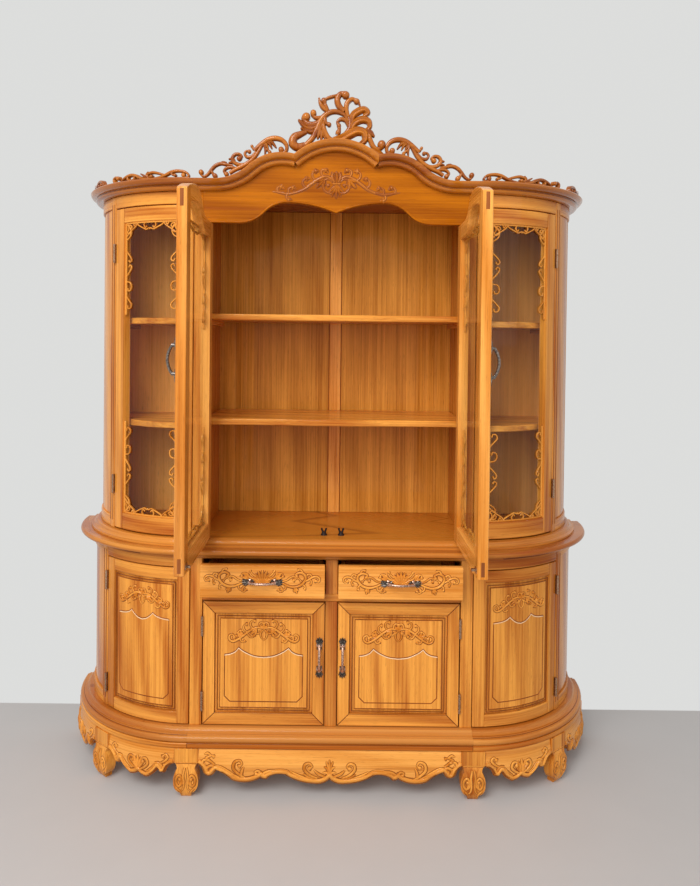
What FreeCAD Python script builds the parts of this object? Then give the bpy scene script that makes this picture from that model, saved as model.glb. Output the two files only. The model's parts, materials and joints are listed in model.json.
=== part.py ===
import FreeCAD, Part
import Sketcher
import math
import os
import re
from FreeCAD import Placement, Rotation, Vector

doc = FreeCAD.newDocument("cabinet")
sheet = doc.addObject("Spreadsheet::Sheet", "Sizes")

# Driving sizes in millimetres and degrees
sizes = {
    "half_flat": 434,
    "lower_radius": 400,
    "upper_radius": 380,
    "centre_y": 390,
    "back_y": 404,
    "board": 22,
    "back_board": 12,
    "foot_height": 147,
    "foot_angle": 40.5,
    "rear_foot_angle": 82,
    "foot_width": 72,
    "foot_depth": 44,
    "apron_drop": 100,
    "apron_thick": 20,
    "apron_set": 3,
    "apron_swell": 6,
    "band_set": 4,
    "foot_set": 2,
    "band_height": 16,
    "plinth_height": 35,
    "plinth_reach": 46,
    "lower_door_height": 381,
    "side_door_low_height": 482,
    "rail_height": 22,
    "drawer_opening": 106,
    "top_rail_height": 15,
    "waist_reach": 44,
    "waist_height": 33,
    "upper_reach": 30,
    "door_gap": 3,
    "hinge_gap": 3,
    "door_angle": 46,
    "post_angle": 4.6,
    "rear_post_angle": 84,
    "lower_post": 37,
    "upper_post": 24,
    "post_depth": 30,
    "side_rail": 36,
    "side_rail_thick": 20,
    "side_panel_thick": 12,
    "side_panel_set": 8,
    "side_rail_set": 2,
    "mullion": 37,
    "muntin_half": 20,
    "muntin_raise": 5,
    "partition": 20,
    "lower_door_thick": 24,
    "upper_door_thick": 28,
    "side_door_thick": 26,
    "side_glass_set": 12,
    "lower_stile": 37,
    "upper_stile": 45,
    "upper_low_rail": 52,
    "upper_top_rail": 46,
    "panel_thick": 12,
    "panel_raise": 5,
    "panel_margin": 15,
    "glass_thick": 4,
    "fret_thick": 6,
    "fret_band": 5,
    "fret_width": 7,
    "fret_scroll": 25,
    "fret_drop": 190,
    "fret_rise": 240,
    "side_door_height": 1022,
    "frieze_height": 39,
    "cornice_height": 33,
    "cornice_reach": 40,
    "header_thick": 20,
    "header_low": 57,
    "header_peak_x": 150,
    "header_level": 115,
    "header_rise": 64,
    "header_cusp": 31,
    "arch_inset": 64,
    "shoulder_x": 165,
    "shoulder_rise": 81,
    "cusp_x": 128,
    "crown_rise": 124,
    "crest_height": 168,
    "crest_thick": 26,
    "gallery_height": 38,
    "shelf_thick": 20,
    "shelf_one": 694,
    "shelf_two": 366,
    "side_shelf_drop": 14,
    "shelf_inset": 34,
    "shelf_slack": 0.5,
    "wave_deep": 6,
    "drawer_out": 55,
    "drawer_length": 330,
    "drawer_side": 12,
    "drawer_wall": 78,
    "knuckle": 4,
    "pin": 2,
    "leaf": 1.2,
    "leaf_long": 60,
    "leaf_deep": 20,
    "hinge_proud": 5,
    "upper_hinge_inset": 140,
    "lower_hinge_inset": 75,
    "centre_hinge_high": 802,
    "running_fit": 0.06,
    "pull_span": 74,
    "pull_bow": 24,
    "pull_rod": 4,
    "runner_wide": 18,
    "cleat_high": 14,
    "cleat_wide": 12,
    "catch_wide": 22,
    "catch_high": 24,
    "catch_apart": 32,
}
for row, name in enumerate(sizes, 1):
    sheet.set("A%d" % row, name)
    sheet.set("B%d" % row, str(sizes[name]))
    sheet.setAlias("B%d" % row, name)
doc.recompute()


def spell(text):
    def qualified(word):
        name = word.group(0)
        return "Sizes." + name if name in sizes else name

    return re.sub(r"[a-z_]+", qualified, text)


def value(text):
    found = sheet.evalExpression(spell(text))
    return float(getattr(found, "Value", found))


def bind(thing, path, text):
    thing.setExpression(path, spell(text))
    return thing


def place(thing, across="0", deep="0", up="0"):
    bind(thing, "Placement.Base.x", across)
    bind(thing, "Placement.Base.y", deep)
    bind(thing, "Placement.Base.z", up)
    return thing


def turn(thing, axis, angle):
    thing.Placement = Placement(thing.Placement.Base, Rotation(axis, 1))
    bind(thing, "Placement.Rotation.Angle", angle)
    return thing


def block(left, right, front, back, low, high):
    made = doc.addObject("Part::Box", "Block")
    bind(made, "Length", "(%s) - (%s)" % (right, left))
    bind(made, "Width", "(%s) - (%s)" % (back, front))
    bind(made, "Height", "(%s) - (%s)" % (high, low))
    return place(made, left, front, low)


def rod(radius, low, high, across, deep):
    made = doc.addObject("Part::Cylinder", "Rod")
    bind(made, "Radius", radius)
    bind(made, "Height", "(%s) - (%s)" % (high, low))
    return place(made, across, deep, low)


frames = {
    "plan": Rotation(),
    "front": Rotation(Vector(1, 0, 0), 90),
    "side": Rotation(Vector(1, 1, 1), 120),
}


# A closed outline: each corner is (u, v) or (u, v, radius, way) with an arc to the next corner
def outline(corners, frame):
    sketch = doc.addObject("Sketcher::SketchObject", "Outline")
    sketch.Placement = Placement(Vector(), frames[frame])
    spots = [Vector(value(c[0]), value(c[1]), 0) for c in corners]
    starts = []
    ends = []
    for index, corner in enumerate(corners):
        here = spots[index]
        there = spots[(index + 1) % len(spots)]
        if len(corner) == 2:
            sketch.addGeometry(Part.LineSegment(here, there), False)
            starts.append(1)
            ends.append(2)
            continue
        radius = value(corner[2])
        step = there - here
        rise = math.sqrt(max(radius ** 2 - step.Length ** 2 / 4, 0))
        normal = Vector(-step.y, step.x, 0).normalize()
        middle = (here + there) * 0.5 + normal * (rise * corner[3])
        circle = Part.Circle(middle, Vector(0, 0, 1), radius)
        first = math.atan2(here.y - middle.y, here.x - middle.x)
        last = math.atan2(there.y - middle.y, there.x - middle.x)
        if corner[3] > 0:
            sketch.addGeometry(Part.ArcOfCircle(circle, first, last), False)
            starts.append(1)
            ends.append(2)
        else:
            sketch.addGeometry(Part.ArcOfCircle(circle, last, first), False)
            starts.append(2)
            ends.append(1)
    for index in range(len(corners)):
        after = (index + 1) % len(corners)
        sketch.addConstraint(Sketcher.Constraint("Coincident", index, ends[index], after, starts[after]))
    for index, corner in enumerate(corners):
        across = Sketcher.Constraint("DistanceX", -1, 1, index, starts[index], spots[index].x)
        bind(sketch, "Constraints[%d]" % sketch.addConstraint(across), corner[0])
        along = Sketcher.Constraint("DistanceY", -1, 1, index, starts[index], spots[index].y)
        bind(sketch, "Constraints[%d]" % sketch.addConstraint(along), corner[1])
        if len(corner) == 4:
            number = sketch.addConstraint(Sketcher.Constraint("Radius", index, value(corner[2])))
            bind(sketch, "Constraints[%d]" % number, corner[2])
    return sketch


def pull_out(sketch, direction, length):
    made = doc.addObject("Part::Extrusion", "Board")
    made.Base = sketch
    made.DirMode = "Custom"
    made.Dir = direction
    made.Solid = True
    bind(made, "LengthFwd", length)
    return made


def slab(corners, low, high):
    thick = "(%s) - (%s)" % (high, low)
    return place(pull_out(outline(corners, "plan"), Vector(0, 0, 1), thick), up=low)


def plate(corners, front, back):
    thick = "(%s) - (%s)" % (back, front)
    return place(pull_out(outline(corners, "front"), Vector(0, 1, 0), thick), deep=front)


def strip(corners, left, right):
    thick = "(%s) - (%s)" % (right, left)
    return place(pull_out(outline(corners, "side"), Vector(1, 0, 0), thick), across=left)


# A length of section bent round the upright axis of the right-hand end
def bent(corners, start, stop):
    made = doc.addObject("Part::Revolution", "Bent")
    made.Source = outline(corners, "front")
    made.Axis = Vector(0, 0, 1)
    made.Base = Vector(0, 0, 0)
    made.Solid = True
    bind(made, "Angle", "(%s) - (%s)" % (stop, start))
    place(made, "half_flat", "centre_y")
    return turn(made, Vector(0, 0, 1), "(%s) - 90" % start)


def bent_board(inner, outer, low, high, start, stop):
    return bent([(inner, low), (outer, low), (outer, high), (inner, high)], start, stop)


# A length of side section swept round a level axis that runs front to back
def arched(corners, across, up, start, stop):
    made = doc.addObject("Part::Revolution", "Arched")
    made.Source = outline(corners, "side")
    made.Axis = Vector(0, 1, 0)
    made.Base = Vector(0, 0, 0)
    made.Solid = True
    bind(made, "Angle", "(%s) - (%s)" % (stop, start))
    place(made, across, "0", up)
    return turn(made, Vector(0, 1, 0), start)


def mirrored(thing):
    made = doc.addObject("Part::Mirroring", "Mirrored")
    made.Source = thing
    made.Normal = Vector(1, 0, 0)
    made.Base = Vector(0, 0, 0)
    return made


def joined(things):
    made = doc.addObject("Part::MultiFuse", "Joined")
    made.Shapes = things
    made.Refine = True
    return made


def cut(thing, tool):
    made = doc.addObject("Part::Cut", "Cut")
    made.Base = thing
    made.Tool = tool
    return made


def shared(thing, other):
    made = doc.addObject("Part::MultiCommon", "Shared")
    made.Shapes = [thing, other]
    return made


# The same corners read backwards on the other side of the middle
def other_side(corners):
    flipped = []
    for index in range(len(corners) - 1, -1, -1):
        u, v = corners[index][:2]
        before = corners[index - 1] if index > 0 else ()
        flipped.append(("-(%s)" % u, v) + (tuple(before[2:]) if len(before) == 4 else ()))
    return flipped


nodes = []


def node(label, things):
    if len(things) == 1:
        made = things[0]
    else:
        made = doc.addObject("Part::Compound", "Group")
        made.Links = things
    made.Label = label
    nodes.append(made)
    return made


def both(things):
    return things + [mirrored(thing) for thing in things]


def pair(label, things):
    node("right_" + label, things)
    node("left_" + label, [mirrored(thing) for thing in things])


# Levels and planes that several pieces share
band_low = "foot_height"
plinth_low = "(foot_height + band_height)"
base_top = "(foot_height + band_height + plinth_height)"
rail_low = "(%s + lower_door_height + 2 * door_gap)" % base_top
rail_top = "(%s + rail_height)" % rail_low
drawer_top = "(%s + drawer_opening)" % rail_top
lower_top = "(%s + top_rail_height)" % drawer_top
waist_top = "(%s + board)" % lower_top
upper_floor = "(%s + board)" % waist_top
upper_low = "(%s + door_gap + 1)" % upper_floor
side_high = "(%s + side_door_height)" % upper_low
frieze_low = "(%s + door_gap)" % side_high
roof_low = "(%s + frieze_height)" % frieze_low
roof_top = "(%s + board)" % roof_low
cornice_top = "(%s + cornice_height)" % roof_low
lower_front = "(centre_y - lower_radius)"
upper_front = "(centre_y - upper_radius)"
back_front = "(back_y - back_board)"
lower_open = "(half_flat - lower_post)"
upper_open = "(half_flat - upper_post)"
arch_foot = "(half_flat - arch_inset)"
header_flat = "(%s - header_level)" % upper_open
post_start = "(door_angle + hinge_gap / lower_radius * 180 / pi)"
post_stop = "(%s + post_angle)" % post_start
upper_post_start = "(door_angle + hinge_gap / upper_radius * 180 / pi)"
upper_post_stop = "(%s + post_angle)" % upper_post_start


# A board with the plan of the cabinet: straight front, quarter-round ends, flat back
def plan_board(radius, back, low, high):
    reach = "half_flat + %s" % radius
    corners = [
        ("-half_flat", "centre_y - %s" % radius),
        ("half_flat", "centre_y - %s" % radius, radius, 1),
        (reach, "centre_y"),
        (reach, back),
        ("-(%s)" % reach, back),
        ("-(%s)" % reach, "centre_y", radius, 1),
    ]
    return slab(corners, low, high)


# A moulding that runs along the straight front and round both ends
def wrapped(section):
    right = bent(section, "0", "90")
    front = [(("centre_y - (%s)" % c[0]), c[1]) + ((c[2], -c[3]) if len(c) == 4 else ()) for c in section]
    return [strip(front, "-half_flat", "half_flat"), right, mirrored(right)]


# Feet: a front outline with swelling volutes and a narrow toe, crossed with a side outline
def foot(angle):
    half = [
        ("foot_width * 0.21", "0"),
        ("foot_width * 0.24", "foot_height * 0.09", "foot_height * 0.24", 1),
        ("foot_width * 0.52", "foot_height * 0.3", "foot_height * 0.45", 1),
        ("foot_width * 0.37", "foot_height * 0.6", "foot_height * 0.14", -1),
        ("foot_width * 0.5", "foot_height * 0.71"),
        ("foot_width * 0.5", "foot_height"),
    ]
    broad = half + other_side(half)
    along = [
        ("-foot_depth * 0.32", "0"),
        ("foot_depth * 0.2", "0", "foot_height * 0.8", -1),
        ("foot_depth * 0.5", "foot_height * 0.6"),
        ("foot_depth * 0.5", "foot_height"),
        ("-foot_depth * 0.5", "foot_height"),
        ("-foot_depth * 0.5", "foot_height * 0.71"),
        ("-foot_depth * 0.45", "foot_height * 0.7", "foot_height * 0.5", 1),
        ("-foot_depth * 0.6", "foot_height * 0.33", "foot_height * 0.4", 1),
    ]
    made = shared(plate(broad, "-foot_depth", "foot_depth"), strip(along, "-foot_width", "foot_width"))
    middle = "(lower_radius + plinth_reach - foot_depth / 2 - foot_set)"
    turn(made, Vector(0, 0, 1), angle)
    across = "half_flat + %s * sin(%s)" % (middle, angle)
    return place(made, across, "centre_y - %s * cos(%s)" % (middle, angle))


node("feet", both([foot("0"), foot("foot_angle"), foot("rear_foot_angle")]))

# Aprons with scalloped lower edges, straight at the front and bent round the ends
apron_outer = "(lower_radius + plinth_reach - apron_set)"
apron_inner = "(%s - apron_thick)" % apron_outer
apron_low = "(foot_height - apron_drop)"
apron_half = "(half_flat - foot_width / 2)"


def apron_spot(half, across, up):
    return ("%s * %s" % (half, across), "%s + apron_drop * %s" % (apron_low, up))


# A swelling outer face, as distance from the arc centre and height
apron_section = [
    (apron_inner, apron_low),
    (apron_outer + " - apron_swell", apron_low, "apron_drop * 2.2", 1),
    (apron_outer + " - apron_swell", "foot_height"),
    (apron_inner, "foot_height"),
]


# Lower edge from the middle to a foot: lobes that hang between balled scroll tips
scallops = [
    apron_spot(apron_half, 0, 0.19) + ("apron_drop * 0.5", 1),
    apron_spot(apron_half, 0.12, 0.01) + ("apron_drop * 1.6", 1),
    apron_spot(apron_half, 0.33, 0.27) + ("apron_drop * 0.8", -1),
    apron_spot(apron_half, 0.472, 0.2) + (apron_half + " * 0.0275", 1),
    apron_spot(apron_half, 0.521, 0.2) + ("apron_drop * 0.9", 1),
    apron_spot(apron_half, 0.73, 0.08) + ("apron_drop * 1.5", -1),
    apron_spot(apron_half, 0.865, 0.4) + ("apron_drop * 0.3", -1),
    apron_spot(apron_half, 0.895, 0.27) + (apron_half + " * 0.0255", 1),
    apron_spot(apron_half, 0.94, 0.27) + ("apron_drop * 0.4", -1),
    apron_spot(apron_half, 1, 0.574),
    (apron_half, "foot_height"),
]
apron_corners = scallops + other_side(scallops)[:-1]
front_section = [("centre_y - (%s)" % c[0], c[1]) + ((c[2], -c[3]) if len(c) == 4 else ()) for c in apron_section]
front_edge = plate(apron_corners, "centre_y - lower_radius - plinth_reach", "centre_y")
front_apron = shared(strip(front_section, "-" + apron_half, apron_half), front_edge)


def bent_apron(start, stop):
    half = "(%s * sin((%s - (%s)) / 2))" % (apron_outer, stop, start)
    hanging = [
        apron_spot(half, 0, 0.2) + ("apron_drop * 0.4", 1),
        apron_spot(half, 0.24, 0.06) + ("apron_drop * 0.8", 1),
        apron_spot(half, 0.55, 0.42) + ("apron_drop * 0.2", -1),
        apron_spot(half, 0.62, 0.29) + (half + " * 0.06", 1),
        apron_spot(half, 0.72, 0.29) + ("apron_drop * 0.35", -1),
        apron_spot(half, 1, 0.57),
        ("%s * 1.1" % half, "%s + apron_drop * 0.57" % apron_low),
        ("%s * 1.1" % half, "foot_height"),
    ]
    middle = "((%s) + (%s)) / 2" % (start, stop)
    reach = "(%s + apron_thick)" % apron_outer
    edge = plate(hanging + other_side(hanging)[:-1], "0", reach)
    turn(edge, Vector(0, 0, 1), middle)
    across = "half_flat + %s * sin(%s)" % (reach, middle)
    place(edge, across, "centre_y - %s * cos(%s)" % (reach, middle))
    return shared(bent(apron_section, start, stop), edge)


knee_turn = "(foot_width / 2 / (%s - apron_set) * 180 / pi)" % apron_inner
aprons = [
    bent_apron(knee_turn, "foot_angle - %s" % knee_turn),
    bent_apron("foot_angle + %s" % knee_turn, "rear_foot_angle - %s" % knee_turn),
]
node("aprons", [front_apron] + both(aprons))

# Band and plinth moulding
plinth_inner = "(lower_radius - post_depth)"
band_outer = "(lower_radius + plinth_reach - band_set)"
band = [
    (plinth_inner, band_low),
    (band_outer, band_low),
    (band_outer, plinth_low),
    (plinth_inner, plinth_low),
]
node("base_band", wrapped(band))
plinth_outer = "(lower_radius + plinth_reach)"
plinth = [
    (plinth_inner, plinth_low),
    (plinth_outer + " - plinth_reach * 0.22", plinth_low, "plinth_height * 0.3", 1),
    (plinth_outer + " - plinth_reach * 0.22", plinth_low + " + plinth_height * 0.55"),
    (plinth_outer + " - plinth_reach * 0.35", plinth_low + " + plinth_height * 0.55"),
    (plinth_outer + " - plinth_reach * 0.35", plinth_low + " + plinth_height * 0.65", "plinth_reach * 0.3", -1),
    ("lower_radius + plinth_reach * 0.26", base_top),
    (plinth_inner, base_top),
]
node("plinth_moulding", wrapped(plinth))

# Lower carcass
node("lower_floor", [plan_board(plinth_inner, back_front, base_top + " - board", base_top)])
lower_posts = [
    block(lower_open, "half_flat", lower_front, lower_front + " + post_depth", base_top, lower_top),
    bent_board("lower_radius - post_depth", "lower_radius", base_top, lower_top, post_start, post_stop),
    joined([
        bent_board("lower_radius - post_depth", "lower_radius", base_top, lower_top, "rear_post_angle", "90"),
        block("half_flat + lower_radius - post_depth", "half_flat + lower_radius", "centre_y", "back_y",
              base_top, lower_top),
    ]),
]
rail_back = lower_front + " + post_depth - 2"
frieze_base = "(%s + side_door_low_height + 2 * door_gap)" % base_top
lower_rails = [
    block("-" + lower_open, lower_open, lower_front, rail_back, rail_low, rail_top),
    block("-" + lower_open, lower_open, lower_front, rail_back, drawer_top, lower_top),
    block("-mullion / 2", "mullion / 2", lower_front, rail_back, base_top, rail_low),
    block("-mullion / 2", "mullion / 2", lower_front, rail_back, rail_top, drawer_top),
]
frieze_in = "lower_radius - side_door_thick"
lower_frieze = bent_board(frieze_in, "lower_radius", frieze_base, lower_top, "0", post_start)
node("lower_frame", lower_rails + both(lower_posts + [lower_frieze]))
partition_in = "(half_flat - (lower_post + partition) / 2)"
partition_out = "(%s + partition)" % partition_in
node("lower_partitions", both([
    block(partition_in, partition_out, lower_front + " + post_depth", back_front, base_top, lower_top),
]))


def side_wall(radius, low, high, start):
    panel_out = radius + " - side_panel_set"
    rail_out = radius + " - side_rail_set"
    rail_in = rail_out + " - side_rail_thick"
    low_edge = low + " + side_rail"
    high_edge = high + " - side_rail"
    return [
        bent_board(panel_out + " - side_panel_thick", panel_out, low_edge, high_edge, start, "rear_post_angle"),
        bent_board(rail_in, rail_out, low, low_edge, start, "rear_post_angle"),
        bent_board(rail_in, rail_out, high_edge, high, start, "rear_post_angle"),
    ]


node("lower_side_panels", both(side_wall("lower_radius", base_top, lower_top, post_stop)))
back_half = "(half_flat + lower_radius - post_depth)"
node("lower_back", [block("-" + back_half, back_half, back_front, "back_y", base_top + " - board", lower_top)])
runners = []
for spot in ("mullion / 2 + door_gap", lower_open + " - runner_wide - door_gap"):
    runners.append(block(spot, spot + " + runner_wide", rail_back, back_front,
                         rail_top + " - cleat_wide", rail_top))
node("lower_top", [plan_board("lower_radius", "back_y", lower_top, waist_top)])

# Waist moulding of the lower part and base moulding of the upper part
waist_low = "(%s - waist_height)" % waist_top
waist_outer = "(lower_radius + waist_reach)"
waist = [
    ("lower_radius", waist_low),
    ("lower_radius + waist_reach * 0.18", waist_low),
    ("lower_radius + waist_reach * 0.18", waist_low + " + waist_height * 0.15", "waist_reach * 0.45", -1),
    (waist_outer + " - waist_reach * 0.27", waist_low + " + waist_height * 0.48"),
    (waist_outer + " - waist_reach * 0.14", waist_low + " + waist_height * 0.48", "waist_height * 0.27", 1),
    (waist_outer + " - waist_reach * 0.14", waist_top),
    ("lower_radius", waist_top),
]
node("waist_moulding", wrapped(waist))
node("upper_floor", [plan_board("upper_radius", "back_y", waist_top, upper_floor)])
upper_base = [
    ("upper_radius", waist_top),
    ("upper_radius + upper_reach", waist_top),
    ("upper_radius + upper_reach", waist_top + " + board * 0.32", "upper_reach * 0.45", -1),
    ("upper_radius + upper_reach * 0.4", upper_floor + " - board * 0.14"),
    ("upper_radius + upper_reach * 0.2", upper_floor),
    ("upper_radius", upper_floor),
]
node("upper_base_moulding", wrapped(upper_base))

# Upper carcass
upper_post_in = "upper_radius - post_depth"
upper_posts = [
    block(upper_open, "half_flat", upper_front, upper_front + " + post_depth", upper_floor, roof_low),
    bent_board(upper_post_in, "upper_radius", upper_floor, roof_low, upper_post_start, upper_post_stop),
    joined([
        bent_board(upper_post_in, "upper_radius", upper_floor, roof_low, "rear_post_angle", "90"),
        block("half_flat + upper_radius - post_depth", "half_flat + upper_radius", "centre_y", "back_y",
              upper_floor, roof_low),
    ]),
]
frieze_in = "upper_radius - side_door_thick"
frieze = bent_board(frieze_in, "upper_radius", frieze_low, roof_low, "0", upper_post_start)
node("upper_frame", both(upper_posts + [frieze]))
upper_partition = block(upper_open, upper_open + " + partition", upper_front + " + post_depth", back_front,
                        upper_floor, roof_low)
node("upper_partitions", both([upper_partition]))
node("upper_side_panels", both(side_wall("upper_radius", upper_floor, roof_low, upper_post_stop)))
upper_back_half = "(half_flat + upper_radius - post_depth)"
muntin_front = back_front + " - muntin_raise"
backs = [
    block("muntin_half", upper_open, back_front, "back_y", upper_floor, roof_low),
    block(upper_open, upper_back_half, back_front, "back_y", upper_floor, roof_low),
]
muntin = block("-muntin_half", "muntin_half", muntin_front, "back_y", upper_floor, roof_low)
node("upper_back", both(backs) + [muntin])

# Shelves on cleats; the centre ones have a wavy front edge
shelf_front = "(%s + shelf_inset)" % upper_front
shelf_half = "(%s - shelf_slack)" % upper_open
wave_run = "(%s / 3)" % shelf_half
wave_radius = "((%s ^ 2 + wave_deep ^ 2) / (2 * wave_deep))" % wave_run


def centre_shelf(level):
    top = "(%s + %s)" % (upper_floor, level)
    corners = [
        ("-" + shelf_half, shelf_front, wave_radius, -1),
        ("-" + shelf_half + " / 3", shelf_front, wave_radius, 1),
        (shelf_half + " / 3", shelf_front, wave_radius, -1),
        (shelf_half, shelf_front),
        (shelf_half, muntin_front),
        ("-" + shelf_half, muntin_front),
    ]
    return slab(corners, top + " - shelf_thick", top)


def side_shelf(level):
    top = "(%s + %s - side_shelf_drop)" % (upper_floor, level)
    radius = "(upper_radius - post_depth - wave_deep)"
    wall = "(%s + partition)" % upper_open
    reach = "sqrt(%s ^ 2 - (%s - half_flat) ^ 2)" % (radius, wall)
    far = "(half_flat + sqrt(%s ^ 2 - (centre_y - back_y + back_board) ^ 2))" % radius
    corners = [
        (wall, "centre_y - " + reach, radius, 1),
        (far, back_front),
        (wall, back_front),
    ]
    return slab(corners, top + " - shelf_thick", top)


side_shelves = both([side_shelf("shelf_one"), side_shelf("shelf_two")])
node("shelves", [centre_shelf("shelf_one"), centre_shelf("shelf_two")] + side_shelves)
cleats = []
cleat_front = shelf_front + " + post_depth"
bay_wall = "(%s + partition)" % upper_open
for level in ("shelf_one", "shelf_two"):
    under = "(%s + %s - shelf_thick)" % (upper_floor, level)
    lower = "(%s - side_shelf_drop)" % under
    cleats.append(block(upper_open + " - cleat_wide", upper_open, cleat_front, back_front,
                        under + " - cleat_high", under))
    cleats.append(block(bay_wall, bay_wall + " + cleat_wide", cleat_front, back_front,
                        lower + " - cleat_high", lower))
    cleats.append(block(upper_back_half + " - 3 * post_depth", upper_back_half + " - post_depth",
                        back_front + " - cleat_wide", back_front, lower + " - cleat_high", lower))
node("cleats_and_runners", both(cleats + runners))
roof_radius = "(upper_radius - header_thick)"
node("roof_board", [plan_board(roof_radius, "back_y", roof_low, roof_top)])

# Header board: ogee lower edge, top edge under the arched cornice
header_end = "(%s - header_low - frieze_height)" % roof_low
header_peak = "(%s + header_rise)" % header_end
header_middle = "(%s - header_cusp)" % header_peak
ogee_run = "(%s - header_peak_x)" % header_flat
ogee_radius = "(%s / (2 * sin(2 * atan(header_rise / %s))))" % (ogee_run, ogee_run)
cusp_radius = "((header_peak_x ^ 2 + header_cusp ^ 2) / (2 * header_cusp))"
ogee_mid_x = "((%s + header_peak_x) / 2)" % header_flat
ogee_mid_z = "(%s + header_rise / 2)" % header_end
sweep_run = "(%s - shoulder_x)" % arch_foot
sweep_turn = "(2 * atan(shoulder_rise / %s))" % sweep_run
sweep_radius = "(%s / (2 * sin(%s)))" % (sweep_run, sweep_turn)
shoulder_z = "(%s + shoulder_rise)" % cornice_top
crown_z = "(%s + crown_rise)" % cornice_top
cusp_z = "(%s - %s + sqrt(%s ^ 2 - (shoulder_x - cusp_x) ^ 2))" % (shoulder_z, sweep_radius, sweep_radius)
crown_sag = "(%s - %s)" % (crown_z, cusp_z)
crown_radius = "((cusp_x ^ 2 + %s ^ 2) / (2 * %s))" % (crown_sag, crown_sag)
sweep_mid_x = "((%s + shoulder_x) / 2)" % arch_foot
sweep_mid_z = "((%s + %s) / 2)" % (cornice_top, shoulder_z)


# Height of the ogee between its centre point and its peak
def arc_height(drop, at):
    return "%s - (%s) - %s + sqrt(%s ^ 2 - (header_peak_x - (%s)) ^ 2)" % (
        header_peak, drop, cusp_radius, cusp_radius, at)


# The right half of the ogee from the centre point outwards, lowered by a drop
def ogee(drop, start, stop):
    return [
        (start, arc_height(drop, start), cusp_radius, -1),
        ("header_peak_x", "%s - (%s)" % (header_peak, drop), ogee_radius, -1),
        (ogee_mid_x, "%s - (%s)" % (ogee_mid_z, drop), ogee_radius, 1),
        (header_flat, "%s - (%s)" % (header_end, drop)),
        (stop, "%s - (%s)" % (header_end, drop)),
    ]


right_half = ogee("0", "0", upper_open) + [
    (upper_open, roof_low),
    ("half_flat", roof_low),
    ("half_flat", cornice_top),
    (arch_foot, cornice_top, sweep_radius, -1),
    (sweep_mid_x, sweep_mid_z, sweep_radius, 1),
    ("shoulder_x", shoulder_z, sweep_radius, 1),
    ("cusp_x", cusp_z, crown_radius, 1),
]
left_half = other_side(right_half)
left_half[0] = ("-cusp_x", cusp_z, sweep_radius, 1)
header_corners = right_half[:-1] + [("cusp_x", cusp_z, crown_radius, 1)] + left_half[:-1]
header_back = upper_front + " + header_thick"
node("header_board", [plate(header_corners, upper_front, header_back)])

# Cornice: one section run round the ends, swept up the shoulders and over the crown
reach = "cornice_reach"
deep = "cornice_height"


# Section corners given by reach in front of the header and drop below the top edge:
# an ovolo under the top fillet, a quirk, and a bead above the header
def cornice_section(outward, upward, back, way):
    steps = [
        (back, "0"),
        (reach + " * 0.95", "0"),
        (reach, deep + " * 0.08", deep + " * 0.62", -way),
        (reach + " * 0.72", deep + " * 0.5"),
        (reach + " * 0.5", deep + " * 0.56"),
        (reach + " * 0.5", deep + " * 0.66"),
        (reach + " * 0.58", deep + " * 0.7", deep + " * 0.4", -way),
        (reach + " * 0.3", deep),
        (back, deep),
    ]
    return [(outward % step[0], upward % step[1]) + step[2:] for step in steps]


end_section = cornice_section("upper_radius + %s", cornice_top + " - %s", "-header_thick", 1)
rounded = bent(end_section, "0", "90")
flat_section = cornice_section(upper_front + " - %s", cornice_top + " - %s", "0", -1)
level = strip(flat_section, arch_foot, "half_flat")
rise_section = cornice_section(upper_front + " - %s", "-" + sweep_radius + " - %s", "0", -1)
rise_z = cornice_top + " + " + sweep_radius
rise = arched(rise_section, arch_foot, rise_z, "0 deg", sweep_turn)
fall_section = cornice_section(upper_front + " - %s", sweep_radius + " - %s", "0", -1)
past = "asin((shoulder_x - cusp_x + cornice_height / 3) / %s)" % sweep_radius
fall_z = shoulder_z + " - " + sweep_radius
fall = arched(fall_section, "shoulder_x", fall_z, "-" + past, sweep_turn)
ahead = upper_front + " - 2 * cornice_reach"
above = crown_z + " + cornice_height"
beyond = block("cusp_x", "half_flat", ahead, header_back, roof_low, above)
swept = shared(joined([level, rise, fall]), beyond)
crown_section = cornice_section(upper_front + " - %s", crown_radius + " - %s", "0", -1)
crown_turn = "asin((cusp_x + cornice_height / 3) / %s)" % crown_radius
crown_mid = crown_z + " - " + crown_radius
crown = arched(crown_section, "0", crown_mid, "-" + crown_turn, crown_turn)
within = block("-cusp_x", "cusp_x", ahead, header_back, roof_low, above)
node("cornice_moulding", [shared(crown, within)] + both([swept, rounded]))


# Hinges: a leaf on the post with two knuckles, a leaf on the door with the middle one, a pin
def tube(radius, bore, low, high, across, deep):
    return cut(rod(radius, low, high, across, deep), rod(bore, low + " - leaf", high + " + leaf", across, deep))


def knuckle_levels(middle):
    third = "(leaf_long / 3)"
    return [
        ("%s - leaf_long / 2" % middle, "%s - %s / 2 - 0.4" % (middle, third)),
        ("%s - %s / 2" % (middle, third), "%s + %s / 2" % (middle, third)),
        ("%s + %s / 2 + 0.4" % (middle, third), "%s + leaf_long / 2" % middle),
    ]


fixed_leaves = []
pins = []


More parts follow.
